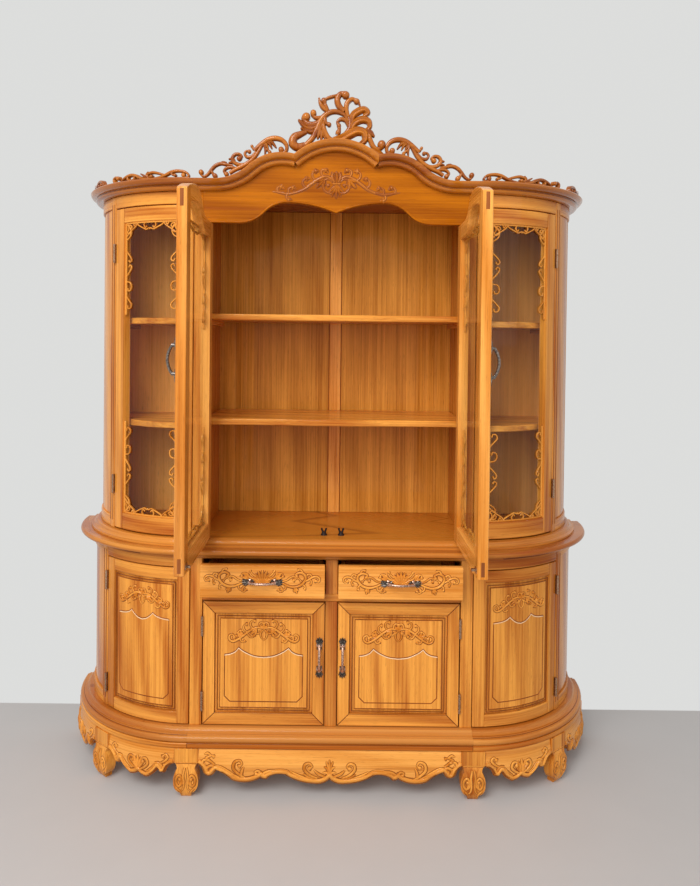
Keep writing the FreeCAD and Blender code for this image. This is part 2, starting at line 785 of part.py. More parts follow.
# A hinge on a straight front; the axis stands in front of the gap beside the post
def flat_hinge(across, front, middle, opened):
    deep = "(%s - hinge_proud)" % front
    levels = knuckle_levels(middle)
    spans = [levels[0], levels[2]]
    outer = "(%s + hinge_gap / 2)" % across
    fixed = [tube("knuckle", "pin", low, high, across, deep) for low, high in spans]
    fixed.append(block(outer + " - leaf", outer, front, front + " + leaf_deep", levels[0][0], levels[2][1]))
    for low, high in spans:
        fixed.append(block(outer + " - leaf", outer, deep + " + pin + 0.3", front + " + 1", low, high))
    fixed_leaves.append(joined(fixed))
    pins.append(rod("pin", levels[0][0], levels[2][1], across, deep))
    low, high = levels[1]
    moving = [tube("knuckle", "pin + running_fit", low, high, across, deep)]
    if opened:
        near = "(%s - hinge_gap / 2)" % deep
        edge = across + " - hinge_proud"
        moving.append(block(edge + " - leaf_deep", edge, near, near + " + leaf", levels[0][0], levels[2][1]))
        moving.append(block(edge + " - leaf", across + " - pin - 0.3", near, near + " + leaf", low, high))
    else:
        inner = "(%s - hinge_gap / 2)" % across
        moving.append(block(inner, inner + " + leaf", front, front + " + leaf_deep",
                            levels[0][0], levels[2][1]))
        moving.append(block(inner, inner + " + leaf", deep + " + pin + 0.3", front + " + 1", low, high))
    return joined(moving)


# A hinge on a rounded end, with its leaves on radial faces
def bent_hinge(radius, start, middle):
    angle = "(door_angle + hinge_gap / 2 / %s * 180 / pi)" % radius
    away = "(%s + hinge_proud)" % radius
    across = "(half_flat + %s * sin(%s))" % (away, angle)
    deep = "(centre_y - %s * cos(%s))" % (away, angle)
    levels = knuckle_levels(middle)
    leaf_turn = "(leaf / %s * 180 / pi)" % radius
    tips = away + " - pin - 0.3"
    fixed = [tube("knuckle", "pin", low, high, across, deep) for low, high in (levels[0], levels[2])]
    before = start + " - " + leaf_turn
    fixed.append(bent_board(radius + " - leaf_deep", radius, levels[0][0], levels[2][1], before, start))
    for low, high in (levels[0], levels[2]):
        fixed.append(bent_board(radius + " - leaf", tips, low, high, before, start))
    fixed_leaves.append(joined(fixed))
    pins.append(rod("pin", levels[0][0], levels[2][1], across, deep))
    low, high = levels[1]
    moving = [tube("knuckle", "pin + running_fit", low, high, across, deep)]
    after = "door_angle + " + leaf_turn
    moving.append(bent_board(radius + " - leaf_deep", radius, levels[0][0], levels[2][1], "door_angle", after))
    moving.append(bent_board(radius + " - leaf", tips, low, high, "door_angle", after))
    return joined(moving)


# Bow pull: two rosettes and two stems with an arched bar between them
def bow_pull(across, deep, up, angle, lying):
    half = "(pull_span / 2)"
    radius = "((%s ^ 2 + (pull_bow / 2) ^ 2) / pull_bow)" % half
    section = doc.addObject("Part::Circle", "Bar")
    bind(section, "Radius", "pull_rod")
    bow = doc.addObject("Part::Revolution", "Bow")
    bow.Source = section
    section.Placement = Placement(Vector(), Rotation(Vector(1, 0, 0), 90))
    bind(section, "Placement.Base.x", radius)
    bow.Axis = Vector(0, 0, 1)
    bow.Base = Vector(0, 0, 0)
    bow.Solid = True
    bow.Symmetric = True
    bind(bow, "Angle", "2 * asin(%s / %s)" % (half, radius))
    bind(bow, "Placement.Base.x", "pull_bow - " + radius)
    parts = [bow]
    for way in ("-", ""):
        stem = doc.addObject("Part::Cylinder", "Stem")
        bind(stem, "Radius", "pull_rod + 0.5")
        bind(stem, "Height", "pull_bow / 2 + 2")
        stem.Placement = Placement(Vector(), Rotation(Vector(0, 1, 0), 90))
        bind(stem, "Placement.Base.y", way + half)
        rosette = doc.addObject("Part::Cone", "Rosette")
        bind(rosette, "Radius1", "pull_rod * 2.4")
        bind(rosette, "Radius2", "pull_rod * 1.4")
        bind(rosette, "Height", "pull_rod * 0.8")
        rosette.Placement = Placement(Vector(), Rotation(Vector(0, 1, 0), 90))
        bind(rosette, "Placement.Base.y", way + half)
        parts.extend([stem, rosette])
    made = joined(parts)
    upright = Rotation(Vector(1, 0, 0), 90 if lying else 0)
    made.Placement = Placement(Vector(), Rotation(Vector(0, 0, 1), angle) * upright)
    return place(made, across, deep, up)


# Upper centre doors, standing open at a right angle: the closed width lies along -Y
upper_hinge_x = "(%s - hinge_gap / 2)" % upper_open
upper_hinge_y = "(%s - hinge_proud)" % upper_front
leaf_width = "(%s - hinge_gap - door_gap / 2)" % upper_open
door_outer = "(%s - hinge_proud)" % upper_hinge_x
door_inner = "(%s - upper_door_thick)" % door_outer
door_near = "(%s - hinge_gap / 2)" % upper_hinge_y
door_far = "(%s - %s)" % (door_near, leaf_width)


# Door heights are drawn along the closed width u, measured from the middle of the cabinet
def open_plate(corners, inner, outer):
    moved = []
    for corner in corners:
        along = "%s - (%s - (%s))" % (upper_hinge_y, upper_hinge_x, corner[0])
        moved.append((along, corner[1]) + tuple(corner[2:]))
    thick = "(%s) - (%s)" % (outer, inner)
    return place(pull_out(outline(moved, "side"), Vector(1, 0, 0), thick), across=inner)


free_edge = "(door_gap / 2)"
hinge_edge = "(%s - hinge_gap)" % upper_open
free_inner = "(%s + upper_stile)" % free_edge
hinge_inner = "(%s - upper_stile)" % hinge_edge
rail_top_z = "(%s + upper_low_rail)" % upper_low
gap_drop = "(door_gap + 1)"
glass_drop = "(%s + upper_top_rail)" % gap_drop


free_stile = [
    (free_edge, upper_low),
    (free_inner, upper_low),
    (free_inner, arc_height(gap_drop, free_inner), cusp_radius, 1),
    (free_edge, arc_height(gap_drop, free_edge)),
]
hinge_top = "(%s - %s)" % (header_end, gap_drop)
hinge_stile = [
    (hinge_inner, upper_low),
    (hinge_edge, upper_low),
    (hinge_edge, hinge_top),
    (hinge_inner, hinge_top),
]
low_rail = [
    (free_inner, upper_low),
    (hinge_inner, upper_low),
    (hinge_inner, rail_top_z),
    (free_inner, rail_top_z),
]


def reversed_ogee(drop):
    path = ogee(drop, free_inner, hinge_inner)
    backwards = []
    for index in range(len(path) - 1, -1, -1):
        before = path[index - 1] if index > 0 else ()
        backwards.append(tuple(path[index][:2]) + ((before[2], -before[3]) if len(before) == 4 else ()))
    return backwards


top_rail = ogee(glass_drop, free_inner, hinge_inner) + reversed_ogee(gap_drop)
pane = [(free_inner, rail_top_z), (hinge_inner, rail_top_z)] + reversed_ogee(glass_drop)
frame = [open_plate(shape, door_inner, door_outer) for shape in (free_stile, hinge_stile, low_rail, top_rail)]
pair("glass_door_frame", frame)
pane_inner = "(%s + upper_door_thick / 2 - glass_thick)" % door_inner
pane_outer = "(%s + glass_thick)" % pane_inner
pair("glass_door_pane", [open_plate(pane, pane_inner, pane_outer)])


# Scrollwork in one plane: each scroll is a curved band, thickest in the middle
def scroll(u, v, radius, start, stop, width):
    angles = [math.radians(start), math.radians((start + stop) / 2), math.radians(stop)]

    def spot(distance, angle):
        return Vector(u + distance * math.cos(angle), v + distance * math.sin(angle), 0)

    outer = Part.Arc(*[spot(radius, angle) for angle in angles]).toShape()
    depths = [width * 0.6, width, width * 0.6]
    inner = Part.Arc(*[spot(radius - depth, angle) for depth, angle in zip(depths, angles)]).toShape()
    ends = [
        Part.LineSegment(spot(radius, angles[2]), spot(radius - depths[2], angles[2])).toShape(),
        Part.LineSegment(spot(radius - depths[0], angles[0]), spot(radius, angles[0])).toShape(),
    ]
    return Part.Face(Part.Wire(Part.__sortEdges__([outer, ends[0], inner, ends[1]])))


def eye(u, v, radius):
    return Part.Face(Part.Wire([Part.Circle(Vector(u, v, 0), Vector(0, 0, 1), radius).toShape()]))


def bar(u, v, wide, high):
    corners = [Vector(u, v), Vector(u + wide, v), Vector(u + wide, v + high), Vector(u, v + high), Vector(u, v)]
    return Part.Face(Part.makePolygon(corners))


def scrollwork(faces, thick):
    solids = [face.extrude(Vector(0, 0, thick)) for face in faces]
    made = doc.addObject("Part::Feature", "Scrollwork")
    made.Shape = solids[0].multiFuse(solids[1:]).removeSplitter()
    return made


fret_band = value("fret_band")
fret_width = value("fret_width")
fret_scroll = value("fret_scroll")
fret_drop = value("fret_drop")
fret_rise = value("fret_rise")
side_scrolls = 4


# A border of scrolls inside a pane: along the foot, up both sides, and down both sides from the top
def fretwork(left, right, low, high_left, high_right):
    faces = [
        bar(left, low, right - left, fret_band),
        bar(left, low, fret_band, fret_rise),
        bar(right - fret_band, low, fret_band, fret_rise),
        bar(left, high_left - fret_drop, fret_band, fret_drop),
        bar(right - fret_band, high_right - fret_drop, fret_band, fret_drop),
    ]
    count = int(round((right - left) / (2 * fret_scroll)))
    for number in range(count):
        middle = left + (right - left) * (number + 0.5) / count
        faces.append(scroll(middle, low + fret_band / 2, fret_scroll, 0, 180, fret_width))
    for number in range(side_scrolls):
        share = number / side_scrolls
        rising = low + fret_rise * (0.25 + 0.8 * share)
        less = fret_scroll * (1 - 0.45 * share)
        faces.append(scroll(left + fret_band / 2, rising, less, -90, 90, fret_width))
        faces.append(scroll(right - fret_band / 2, rising, less, 90, 270, fret_width))
        lift = fret_drop * (0.1 + 0.9 * share)
        more = fret_scroll * (0.55 + 0.45 * share)
        faces.append(scroll(left + fret_band / 2, high_left - fret_drop + lift, more, -90, 90, fret_width))
        faces.append(scroll(right - fret_band / 2, high_right - fret_drop + lift, more, 90, 270, fret_width))
    return faces


# Along the ogee edge of a centre pane the scrolls follow the curve below the glass line
high_left = value(arc_height(glass_drop, free_inner))
high_right = value("%s - %s" % (header_end, glass_drop))
faces = fretwork(value(free_inner), value(hinge_inner), value(rail_top_z), high_left, high_right)
peak_u = value("header_peak_x")
peak_v = value("%s - %s" % (header_peak, glass_drop))
for number in range(-2, 3):
    sag = fret_band + fret_scroll * 0.12 * number ** 2
    faces.append(scroll(peak_u + 2 * fret_scroll * number, peak_v - sag, fret_scroll, 180, 360, fret_width))
flat_fret = scrollwork(faces, value("fret_thick"))
flat_fret.Placement = Placement(Vector(), frames["side"])
place(flat_fret, pane_outer, "%s - %s" % (upper_hinge_y, upper_hinge_x), "0")
fret_outer = "(%s + fret_thick)" % pane_outer
edge_drop = "(%s + fret_band)" % glass_drop
edge_shape = ogee(edge_drop, free_inner, hinge_inner) + reversed_ogee(glass_drop)
fret_edge = open_plate(edge_shape, pane_outer, fret_outer)
kept = shared(flat_fret, open_plate(pane, pane_outer, fret_outer))
pair("glass_door_fret", [joined([kept, fret_edge])])

hinge_low = "(%s + upper_hinge_inset)" % upper_low
hinge_high = "(%s + centre_hinge_high)" % upper_low
strike_low = "(%s + cleat_high)" % upper_low
strike_far = "(%s + cleat_wide)" % door_far
strike = joined([
    block(door_inner + " - pin", door_inner, strike_far, strike_far + " + catch_wide",
          strike_low, strike_low + " + cleat_high"),
    block(door_inner + " - cleat_wide", door_inner + " - leaf", strike_far + " + 3 * pin",
          strike_far + " + 8 * pin", strike_low + " + 2 * pin", strike_low + " + 5 * pin"),
])
pull_level = "%s + side_door_height * 0.545" % upper_low
pair("glass_door_hardware", [
    flat_hinge(upper_hinge_x, upper_front, hinge_low, True),
    flat_hinge(upper_hinge_x, upper_front, hinge_high, True),
    bow_pull(door_outer, "%s + upper_stile / 2" % door_far, pull_level, 0, True),
    strike,
])

# Upper rounded doors
free_turn = "(door_gap * 0.75 / upper_radius * 180 / pi)"
stile_turn = "(upper_stile / upper_radius * 180 / pi)"
glass_start = "(%s + %s)" % (free_turn, stile_turn)
glass_stop = "(door_angle - %s)" % stile_turn
door_in = "(upper_radius - side_door_thick)"
side_pane_top = "(%s - upper_top_rail)" % side_high
side_frame = [
    bent_board(door_in, "upper_radius", upper_low, side_high, free_turn, glass_start),
    bent_board(door_in, "upper_radius", upper_low, side_high, glass_stop, "door_angle"),
    bent_board(door_in, "upper_radius", upper_low, rail_top_z, glass_start, glass_stop),
    bent_board(door_in, "upper_radius", side_pane_top, side_high, glass_start, glass_stop),
]
pair("side_glass_door_frame", side_frame)
side_glass_out = "(upper_radius - side_glass_set)"
side_glass_in = "(%s - glass_thick)" % side_glass_out
pair("side_glass_door_pane", [
    bent_board(side_glass_in, side_glass_out, rail_top_z, side_pane_top, glass_start, glass_stop),
])
half_pane = value("(%s + 1.1 * fret_thick) * sin((%s - %s) / 2)" % (side_glass_out, glass_stop, glass_start))
high_pane = value(side_pane_top)
side_faces = fretwork(-half_pane, half_pane, value(rail_top_z), high_pane, high_pane)
side_faces.append(bar(-half_pane, high_pane - fret_band, half_pane * 2, fret_band))
top_scrolls = 4
for number in range(top_scrolls):
    middle = half_pane * ((2 * number + 1) / top_scrolls - 1)
    side_faces.append(scroll(middle, high_pane - fret_band / 2, fret_scroll, 180, 360, fret_width))
round_fret = scrollwork(side_faces, value("upper_radius"))
facing = Rotation(Vector(0, 0, 1), value("(%s + %s) / 2" % (glass_start, glass_stop)))
round_fret.Placement = Placement(Vector(), facing * frames["front"])
place(round_fret, "half_flat", "centre_y", "0")
fret_out = side_glass_out + " + fret_thick"
shell = bent_board(side_glass_out, fret_out, rail_top_z, side_pane_top, glass_start, glass_stop)
pair("side_glass_door_fret", [shared(round_fret, shell)])
pair("side_glass_door_hinges", [
    bent_hinge("upper_radius", upper_post_start, "(%s + upper_hinge_inset)" % upper_low),
    bent_hinge("upper_radius", upper_post_start, "(%s - upper_hinge_inset)" % side_high),
])

# Lower centre doors: mitred frame round a raised panel
low_door_low = "(%s + door_gap)" % base_top
low_door_high = "(%s - door_gap)" % rail_low
low_free = "(mullion / 2 + door_gap / 2)"
low_hinge = "(%s - hinge_gap)" % lower_open
low_back = "(%s + lower_door_thick)" % lower_front
free_in = "(%s + lower_stile)" % low_free
hinge_in = "(%s - lower_stile)" % low_hinge
low_in = "(%s + lower_stile)" % low_door_low
high_in = "(%s - lower_stile)" % low_door_high
mitred = [
    [(low_free, low_door_low), (free_in, low_in), (free_in, high_in), (low_free, low_door_high)],
    [(low_hinge, low_door_low), (low_hinge, low_door_high), (hinge_in, high_in), (hinge_in, low_in)],
    [(low_free, low_door_low), (low_hinge, low_door_low), (hinge_in, low_in), (free_in, low_in)],
    [(low_free, low_door_high), (free_in, high_in), (hinge_in, high_in), (low_hinge, low_door_high)],
]
pair("lower_door_frame", [plate(shape, lower_front, low_back) for shape in mitred])
panel_front = "(%s + panel_raise + 3)" % lower_front
field = block(free_in, hinge_in, panel_front, panel_front + " + panel_thick", low_in, high_in)
raised = block(free_in + " + panel_margin", hinge_in + " - panel_margin", panel_front + " - panel_raise",
               panel_front, low_in + " + panel_margin", high_in + " - panel_margin")
pair("lower_door_panel", [joined([field, raised])])
low_hinge_x = "(%s - hinge_gap / 2)" % lower_open
pull_level = "(%s + %s) / 2 + 20" % (low_door_low, low_door_high)
pair("lower_door_hardware", [
    flat_hinge(low_hinge_x, lower_front, "(%s + lower_hinge_inset)" % low_door_low, False),
    flat_hinge(low_hinge_x, lower_front, "(%s - lower_hinge_inset)" % low_door_high, False),
    bow_pull(low_free + " + lower_stile * 0.42", lower_front, pull_level, -90, True),
])

# Lower rounded doors
low_side_high = "(%s - door_gap)" % frieze_base
low_free_turn = "(door_gap * 0.75 / lower_radius * 180 / pi)"
low_stile_turn = "(lower_stile / lower_radius * 180 / pi)"
panel_start = "(%s + %s)" % (low_free_turn, low_stile_turn)
panel_stop = "(door_angle - %s)" % low_stile_turn
low_door_in = "(lower_radius - lower_door_thick)"
low_side_in = "(%s - lower_stile)" % low_side_high
pair("lower_side_door_frame", [
    bent_board(low_door_in, "lower_radius", low_door_low, low_side_high, low_free_turn, panel_start),
    bent_board(low_door_in, "lower_radius", low_door_low, low_side_high, panel_stop, "door_angle"),
    bent_board(low_door_in, "lower_radius", low_door_low, low_in, panel_start, panel_stop),
    bent_board(low_door_in, "lower_radius", low_side_in, low_side_high, panel_start, panel_stop),
])
margin_turn = "(panel_margin / lower_radius * 180 / pi)"
panel_out = "(lower_radius - panel_raise - 3)"
pair("lower_side_door_panel", [
    joined([
        bent_board(panel_out + " - panel_thick", panel_out, low_in, low_side_in, panel_start, panel_stop),
        bent_board(panel_out, panel_out + " + panel_raise", low_in + " + panel_margin",
                   low_side_in + " - panel_margin", panel_start + " + " + margin_turn,
                   panel_stop + " - " + margin_turn),
    ]),
])
pair("lower_side_door_hinges", [
    bent_hinge("lower_radius", post_start, "(%s + lower_hinge_inset)" % low_door_low),
    bent_hinge("lower_radius", post_start, "(%s - lower_hinge_inset)" % low_side_high),
])

# Drawers, drawn out a little
front_y = "(%s - drawer_out)" % lower_front
front_low = "(%s + door_gap)" % rail_top
front_high = "(%s - door_gap)" % drawer_top
drawer_left = "(mullion / 2 + door_gap / 2)"
drawer_right = "(%s - door_gap / 2)" % lower_open
front_back = "(%s + board)" % front_y
box_left = "(%s + 8)" % drawer_left
box_right = "(%s - 8)" % drawer_right
box_back = "(%s + drawer_length)" % front_back
box_low = "(%s + 1)" % rail_top
box_high = "(%s + drawer_wall)" % box_low
inside_left = box_left + " + drawer_side"
inside_right = box_right + " - drawer_side"
floor_low = box_low + " + drawer_side / 3"
pair("drawer_front", [block(drawer_left, drawer_right, front_y, front_back, front_low, front_high)])
pair("drawer_box", [
    block(box_left, box_left + " + drawer_side", front_back, box_back, box_low, box_high),
    block(box_right + " - drawer_side", box_right, front_back, box_back, box_low, box_high),
    block(inside_left, inside_right, box_back + " - drawer_side", box_back, box_low, box_high),
    block(inside_left, inside_right, front_back, box_back + " - drawer_side",
          floor_low, floor_low + " + drawer_side / 2"),
])
drawer_middle = "(%s + %s) / 2" % (drawer_left, drawer_right)
pair("drawer_pull", [bow_pull(drawer_middle, front_y, "(%s + %s) / 2" % (front_low, front_high), -90, False)])

# Catches that hold the doors shut
catch_front = "(%s + upper_door_thick + cleat_wide + 1)" % upper_front
catch_left = "(catch_apart / 2)"
low_catch = low_back + " + 1"
low_catch_left = "(mullion / 2 + post_depth)"
node("door_catches", both([
    block(catch_left, catch_left + " + catch_wide", catch_front, catch_front + " + catch_wide",
          upper_floor, upper_floor + " + catch_high"),
    block(low_catch_left, low_catch_left + " + post_depth", low_catch, low_catch + " + cleat_wide",
          rail_low + " - cleat_high", rail_low),
]))
node("hinge_leaves_and_pins", both(fixed_leaves + pins))


# A carved scroll: a curved band that ends in a round eye
def curl(u, v, radius, start, stop, width):
    ending = math.radians(stop)
    inner = radius - width * 0.5
    tip = eye(u + inner * math.cos(ending), v + inner * math.sin(ending), width * 0.75)
    return [scroll(u, v, radius, start, stop, width), tip]


# Crest over the crown, drawn in shares of its height from the middle of the crown
crown_top = value(crown_z)
crest_size = value("crest_height")


def crest_curl(u, v, radius, start, stop, width=0.085):
    middle = crown_top + v * crest_size
    return curl(u * crest_size, middle, radius * crest_size, start, stop, width * crest_size)


left_foot = crest_curl(-0.58, -0.02, 0.3, 10, 200)
left_stem = crest_curl(-0.36, 0.22, 0.28, -40, 160)
left_ball = crest_curl(-0.52, 0.42, 0.13, -60, 170, 0.06)
left_leaf = crest_curl(-0.2, 0.56, 0.24, -30, 190)
top_scroll = crest_curl(0.06, 0.74, 0.24, -50, 230)
top_leaf = crest_curl(0.27, 0.68, 0.17, 100, -70, 0.06)
right_curl = crest_curl(0.36, 0.42, 0.24, 130, -110)
heart = crest_curl(0.02, 0.3, 0.25, -60, 200)
right_stem = crest_curl(0.5, 0.16, 0.22, 140, -60)
right_foot = crest_curl(0.62, -0.06, 0.28, 170, -20)
crest_foot = bar(-0.7 * crest_size, crown_top - 0.4 * crest_size, 1.4 * crest_size, 0.45 * crest_size)
left_growth = left_foot + left_stem + left_ball + left_leaf
right_growth = top_leaf + right_curl + right_stem + right_foot
crest_faces = [crest_foot] + left_growth + top_scroll + heart + right_growth
crest = scrollwork(crest_faces, value("crest_thick"))
crest.Placement = Placement(Vector(), frames["front"])
bind(crest, "Placement.Base.y", header_back)
header_shadow = plate(header_corners, ahead, header_back)
node("crest", [cut(crest, header_shadow)])

# Galleries: scrolls that grow along a foot, up the sweeps of the cornice and round its ends
gallery_size = value("gallery_height")
gallery_scrolls = 5
slope_start = value("half_flat - arch_inset / 2")
slope_stop = value("cusp_x + cornice_height * 1.6")


# Height of the cornice top over a place on the sweep
def sweep_height(u):
    run = value(sweep_run)
    share = min(1, max(0, (value(arch_foot) - u) / run))
    return value(cornice_top) + value("shoulder_rise") * share * share * (3 - 2 * share)


sloped_faces = []
step = (slope_stop - slope_start) / gallery_scrolls
for number in range(gallery_scrolls):
    u = slope_start + step * (number + 0.5)
    size = gallery_size * (0.6 + 0.12 * number)
    level = sweep_height(u)
    sloped_faces.extend(curl(u, level + size * 0.2, size, -20, 210, size * 0.36))
    sloped_faces.extend(curl(u + size * 0.5, level + size * 0.1, size * 0.6, 150, -10, size * 0.26))
    sloped_faces.append(bar(u + step * 0.55, level - value("cornice_height") * 0.8, -step * 1.1, size * 0.9))
sloped = scrollwork(sloped_faces, value("crest_thick") * 0.7)
sloped.Placement = Placement(Vector(), frames["front"])
bind(sloped, "Placement.Base.y", header_back)
gallery_radius = "(upper_radius + cornice_reach * 0.5)"


def rounded_gallery(start, stop, count):
    half = value("%s * sin((%s) / 2)" % (gallery_radius, stop - start))
    low = gallery_size * 0.18
    faces = [bar(-half, 0, 2 * half, low)]
    for number in range(count):
        size = gallery_size * (0.5 + 0.14 * number)
        u = half * (2 * number + 1 - count) / count
        faces.append(scroll(u - size * 0.5, low / 2, size, 0, 180, size * 0.3))
        faces.append(scroll(u + size * 0.6, low / 2, size * 0.8, 20, 180, size * 0.25))
        faces.append(eye(u + size * 0.1, size * 0.55, size * 0.24))
    made = scrollwork(faces, value(gallery_radius) * 1.2)
    made.Placement = Placement(Vector(), Rotation(Vector(0, 0, 1), (start + stop) / 2) * frames["front"])
    place(made, "half_flat", "centre_y", cornice_top)
    ring = bent_board("upper_radius + cornice_reach * 0.3", "upper_radius + cornice_reach * 0.7", cornice_top,
                      cornice_top + " + gallery_height * 2", str(start), str(stop))
    return shared(made, ring)


node("galleries", both([cut(sloped, header_shadow), rounded_gallery(4, 44, 3), rounded_gallery(58, 80, 2)]))

doc.recompute()
os.makedirs("parts", exist_ok=True)
faults = []
for thing in doc.Objects:
    if "Invalid" in thing.State or "Error" in thing.State:
        faults.append("%s %s" % (thing.Label, thing.getStatusString()))
for thing in nodes:
    if thing.Shape.isNull() or not thing.Shape.isValid() or not thing.Shape.Solids:
        faults.append("shape of " + thing.Label)
if faults:
    raise SystemExit("not built: " + ", ".join(faults))
for thing in nodes:
    thing.Shape.exportStep("parts/%s.step" % thing.Label)
    print(thing.Label, len(thing.Shape.Solids))
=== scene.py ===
import json
import math
import random

import bmesh
import bpy
from mathutils import Matrix, Vector
from mathutils.bvhtree import BVHTree


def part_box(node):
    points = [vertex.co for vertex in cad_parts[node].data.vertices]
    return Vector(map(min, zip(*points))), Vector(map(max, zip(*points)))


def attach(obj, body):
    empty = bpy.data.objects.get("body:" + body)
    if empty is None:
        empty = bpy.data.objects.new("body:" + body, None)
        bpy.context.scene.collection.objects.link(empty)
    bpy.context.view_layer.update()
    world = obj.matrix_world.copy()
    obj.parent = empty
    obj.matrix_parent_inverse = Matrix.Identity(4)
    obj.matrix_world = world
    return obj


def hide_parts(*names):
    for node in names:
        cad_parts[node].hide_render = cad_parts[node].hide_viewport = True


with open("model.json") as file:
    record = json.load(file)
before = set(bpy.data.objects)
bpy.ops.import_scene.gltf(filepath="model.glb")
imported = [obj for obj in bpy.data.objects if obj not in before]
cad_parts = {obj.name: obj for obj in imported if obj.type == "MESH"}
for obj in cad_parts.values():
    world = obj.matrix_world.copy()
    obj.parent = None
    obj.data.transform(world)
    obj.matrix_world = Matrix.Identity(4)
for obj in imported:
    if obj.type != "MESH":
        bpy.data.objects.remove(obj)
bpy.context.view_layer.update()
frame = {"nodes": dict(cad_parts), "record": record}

scene = bpy.context.scene
scene.view_settings.view_transform = "Standard"
nodes = frame["nodes"]
bodyOf = {}
for bodyName, members in frame["record"]["behaviour"]["bodies"].items():
    for member in members:
        bodyOf[member] = bodyName

# the plan of the cabinet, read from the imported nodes
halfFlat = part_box("header_board")[1].x
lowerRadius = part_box("lower_top")[1].x - halfFlat
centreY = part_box("lower_top")[0].y + lowerRadius
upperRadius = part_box("upper_floor")[1].x - halfFlat
lowerFront = centreY - lowerRadius
upperFront = centreY - upperRadius
sides = {"right": 1, "left": -1}
print("frame read: half flat %.3f, radii %.3f and %.3f" % (halfFlat, lowerRadius, upperRadius))


# camera at the photograph's standing height, a little tilted and rolled as it was held
cameraPlan = {
    "place": (0.016, -2.388, 1.389), "pitch": 0.91, "roll": 0.66, "focal": 779, "middle": (339.6, 352),
    "wide": 700, "high": 886,
}


def makeCamera():
    across, down = cameraPlan["middle"]
    high = cameraPlan["high"]
    data = bpy.data.cameras.new("camera")
    data.sensor_width = 36
    data.lens = cameraPlan["focal"] * data.sensor_width / high
    data.shift_x = (cameraPlan["wide"] / 2 - across) / high
    data.shift_y = (down - high / 2) / high
    data.clip_end = 60
    camera = bpy.data.objects.new("camera", data)
    scene.collection.objects.link(camera)
    tilt = Matrix.Rotation(math.radians(90 - cameraPlan["pitch"]), 4, "X")
    roll = Matrix.Rotation(math.radians(cameraPlan["roll"]), 4, "Z")
    camera.matrix_world = Matrix.Translation(cameraPlan["place"]) @ tilt @ roll
    scene.camera = camera


makeCamera()
print("camera set")


# a socket that takes part in shader maths
class Wire:
    def __init__(self, tree, out=None):
        self.tree = tree
        self.out = out

    def node(self, kind, settings, values, output=0):
        made = self.tree.nodes.new(kind)
        for key, setting in settings.items():
            setattr(made, key, setting)
        for key, given in values.items():
            if isinstance(given, Wire):
                self.tree.links.new(given.out, made.inputs[key])
            else:
                made.inputs[key].default_value = given
        return Wire(self.tree, made.outputs[output])

    def maths(self, operation, first, second):
        return self.node("ShaderNodeMath", {"operation": operation}, {0: first, 1: second})

    def __add__(self, other):
        return self.maths("ADD", self, other)

    def __sub__(self, other):
        return self.maths("SUBTRACT", self, other)

    def __rsub__(self, other):
        return self.maths("SUBTRACT", other, self)

    def __mul__(self, other):
        return self.maths("MULTIPLY", self, other)

    def scaled(self, amounts):
        return self.node("ShaderNodeVectorMath", {"operation": "MULTIPLY"}, {0: self, 1: amounts})

    def noise(self, scale, detail, roughness, distortion):
        return self.node("ShaderNodeTexNoise", {}, {
            "Vector": self, "Scale": scale, "Detail": detail, "Roughness": roughness,
            "Distortion": distortion})

    def blend(self, factor, first, second):
        return self.node("ShaderNodeMix", {"data_type": "RGBA"}, {0: factor, 6: first, 7: second}, 2)

    def between(self, low, high):
        return self.node("ShaderNodeMapRange", {}, {"Value": self, "From Min": low, "From Max": high})

    def attribute(self, name, output):
        return self.node("ShaderNodeAttribute", {"attribute_name": name}, {}, output)

    def objectPlace(self):
        return self.node("ShaderNodeTexCoord", {}, {}, 3)


def newMaterial(name):
    material = bpy.data.materials.new(name)
    material.use_nodes = True
    material.node_tree.nodes.clear()
    return material, Wire(material.node_tree)


def finishShader(shader, kind="Material"):
    output = shader.tree.nodes.new("ShaderNodeOutput" + kind)
    shader.tree.links.new(shader.out, output.inputs["Surface"])


lacquer = {
    "light": (0.88, 0.37, 0.060, 1),
    "dark": (0.41, 0.092, 0.004, 1),
    "red": (0.25, 0.043, 0.008, 1),
    "pore": (0.17, 0.030, 0.003, 1),
    # dark red-brown for joints and hollows: stain, and painted shade in the hollows, round carving and down
    # pierced sides
    "groove": (0.145, 0.026, 0.003, 1),
    "bandStretch": (1.6, 26, 26),
    "figureStretch": (0.8, 7, 7),
    "streakStretch": (1.1, 150, 150),
    "fibreStretch": (7, 420, 420),
    "poreStretch": (30, 900, 900),
    "bands": 0.62,
    "figure": 0.28,
    "streaks": 0.42,
    "veinStretch": (0.55, 34, 34),
    "veins": 0.38,
    "coat": 0.32,
    "specular": 0.08,
    "coatRoughness": 0.05,
}


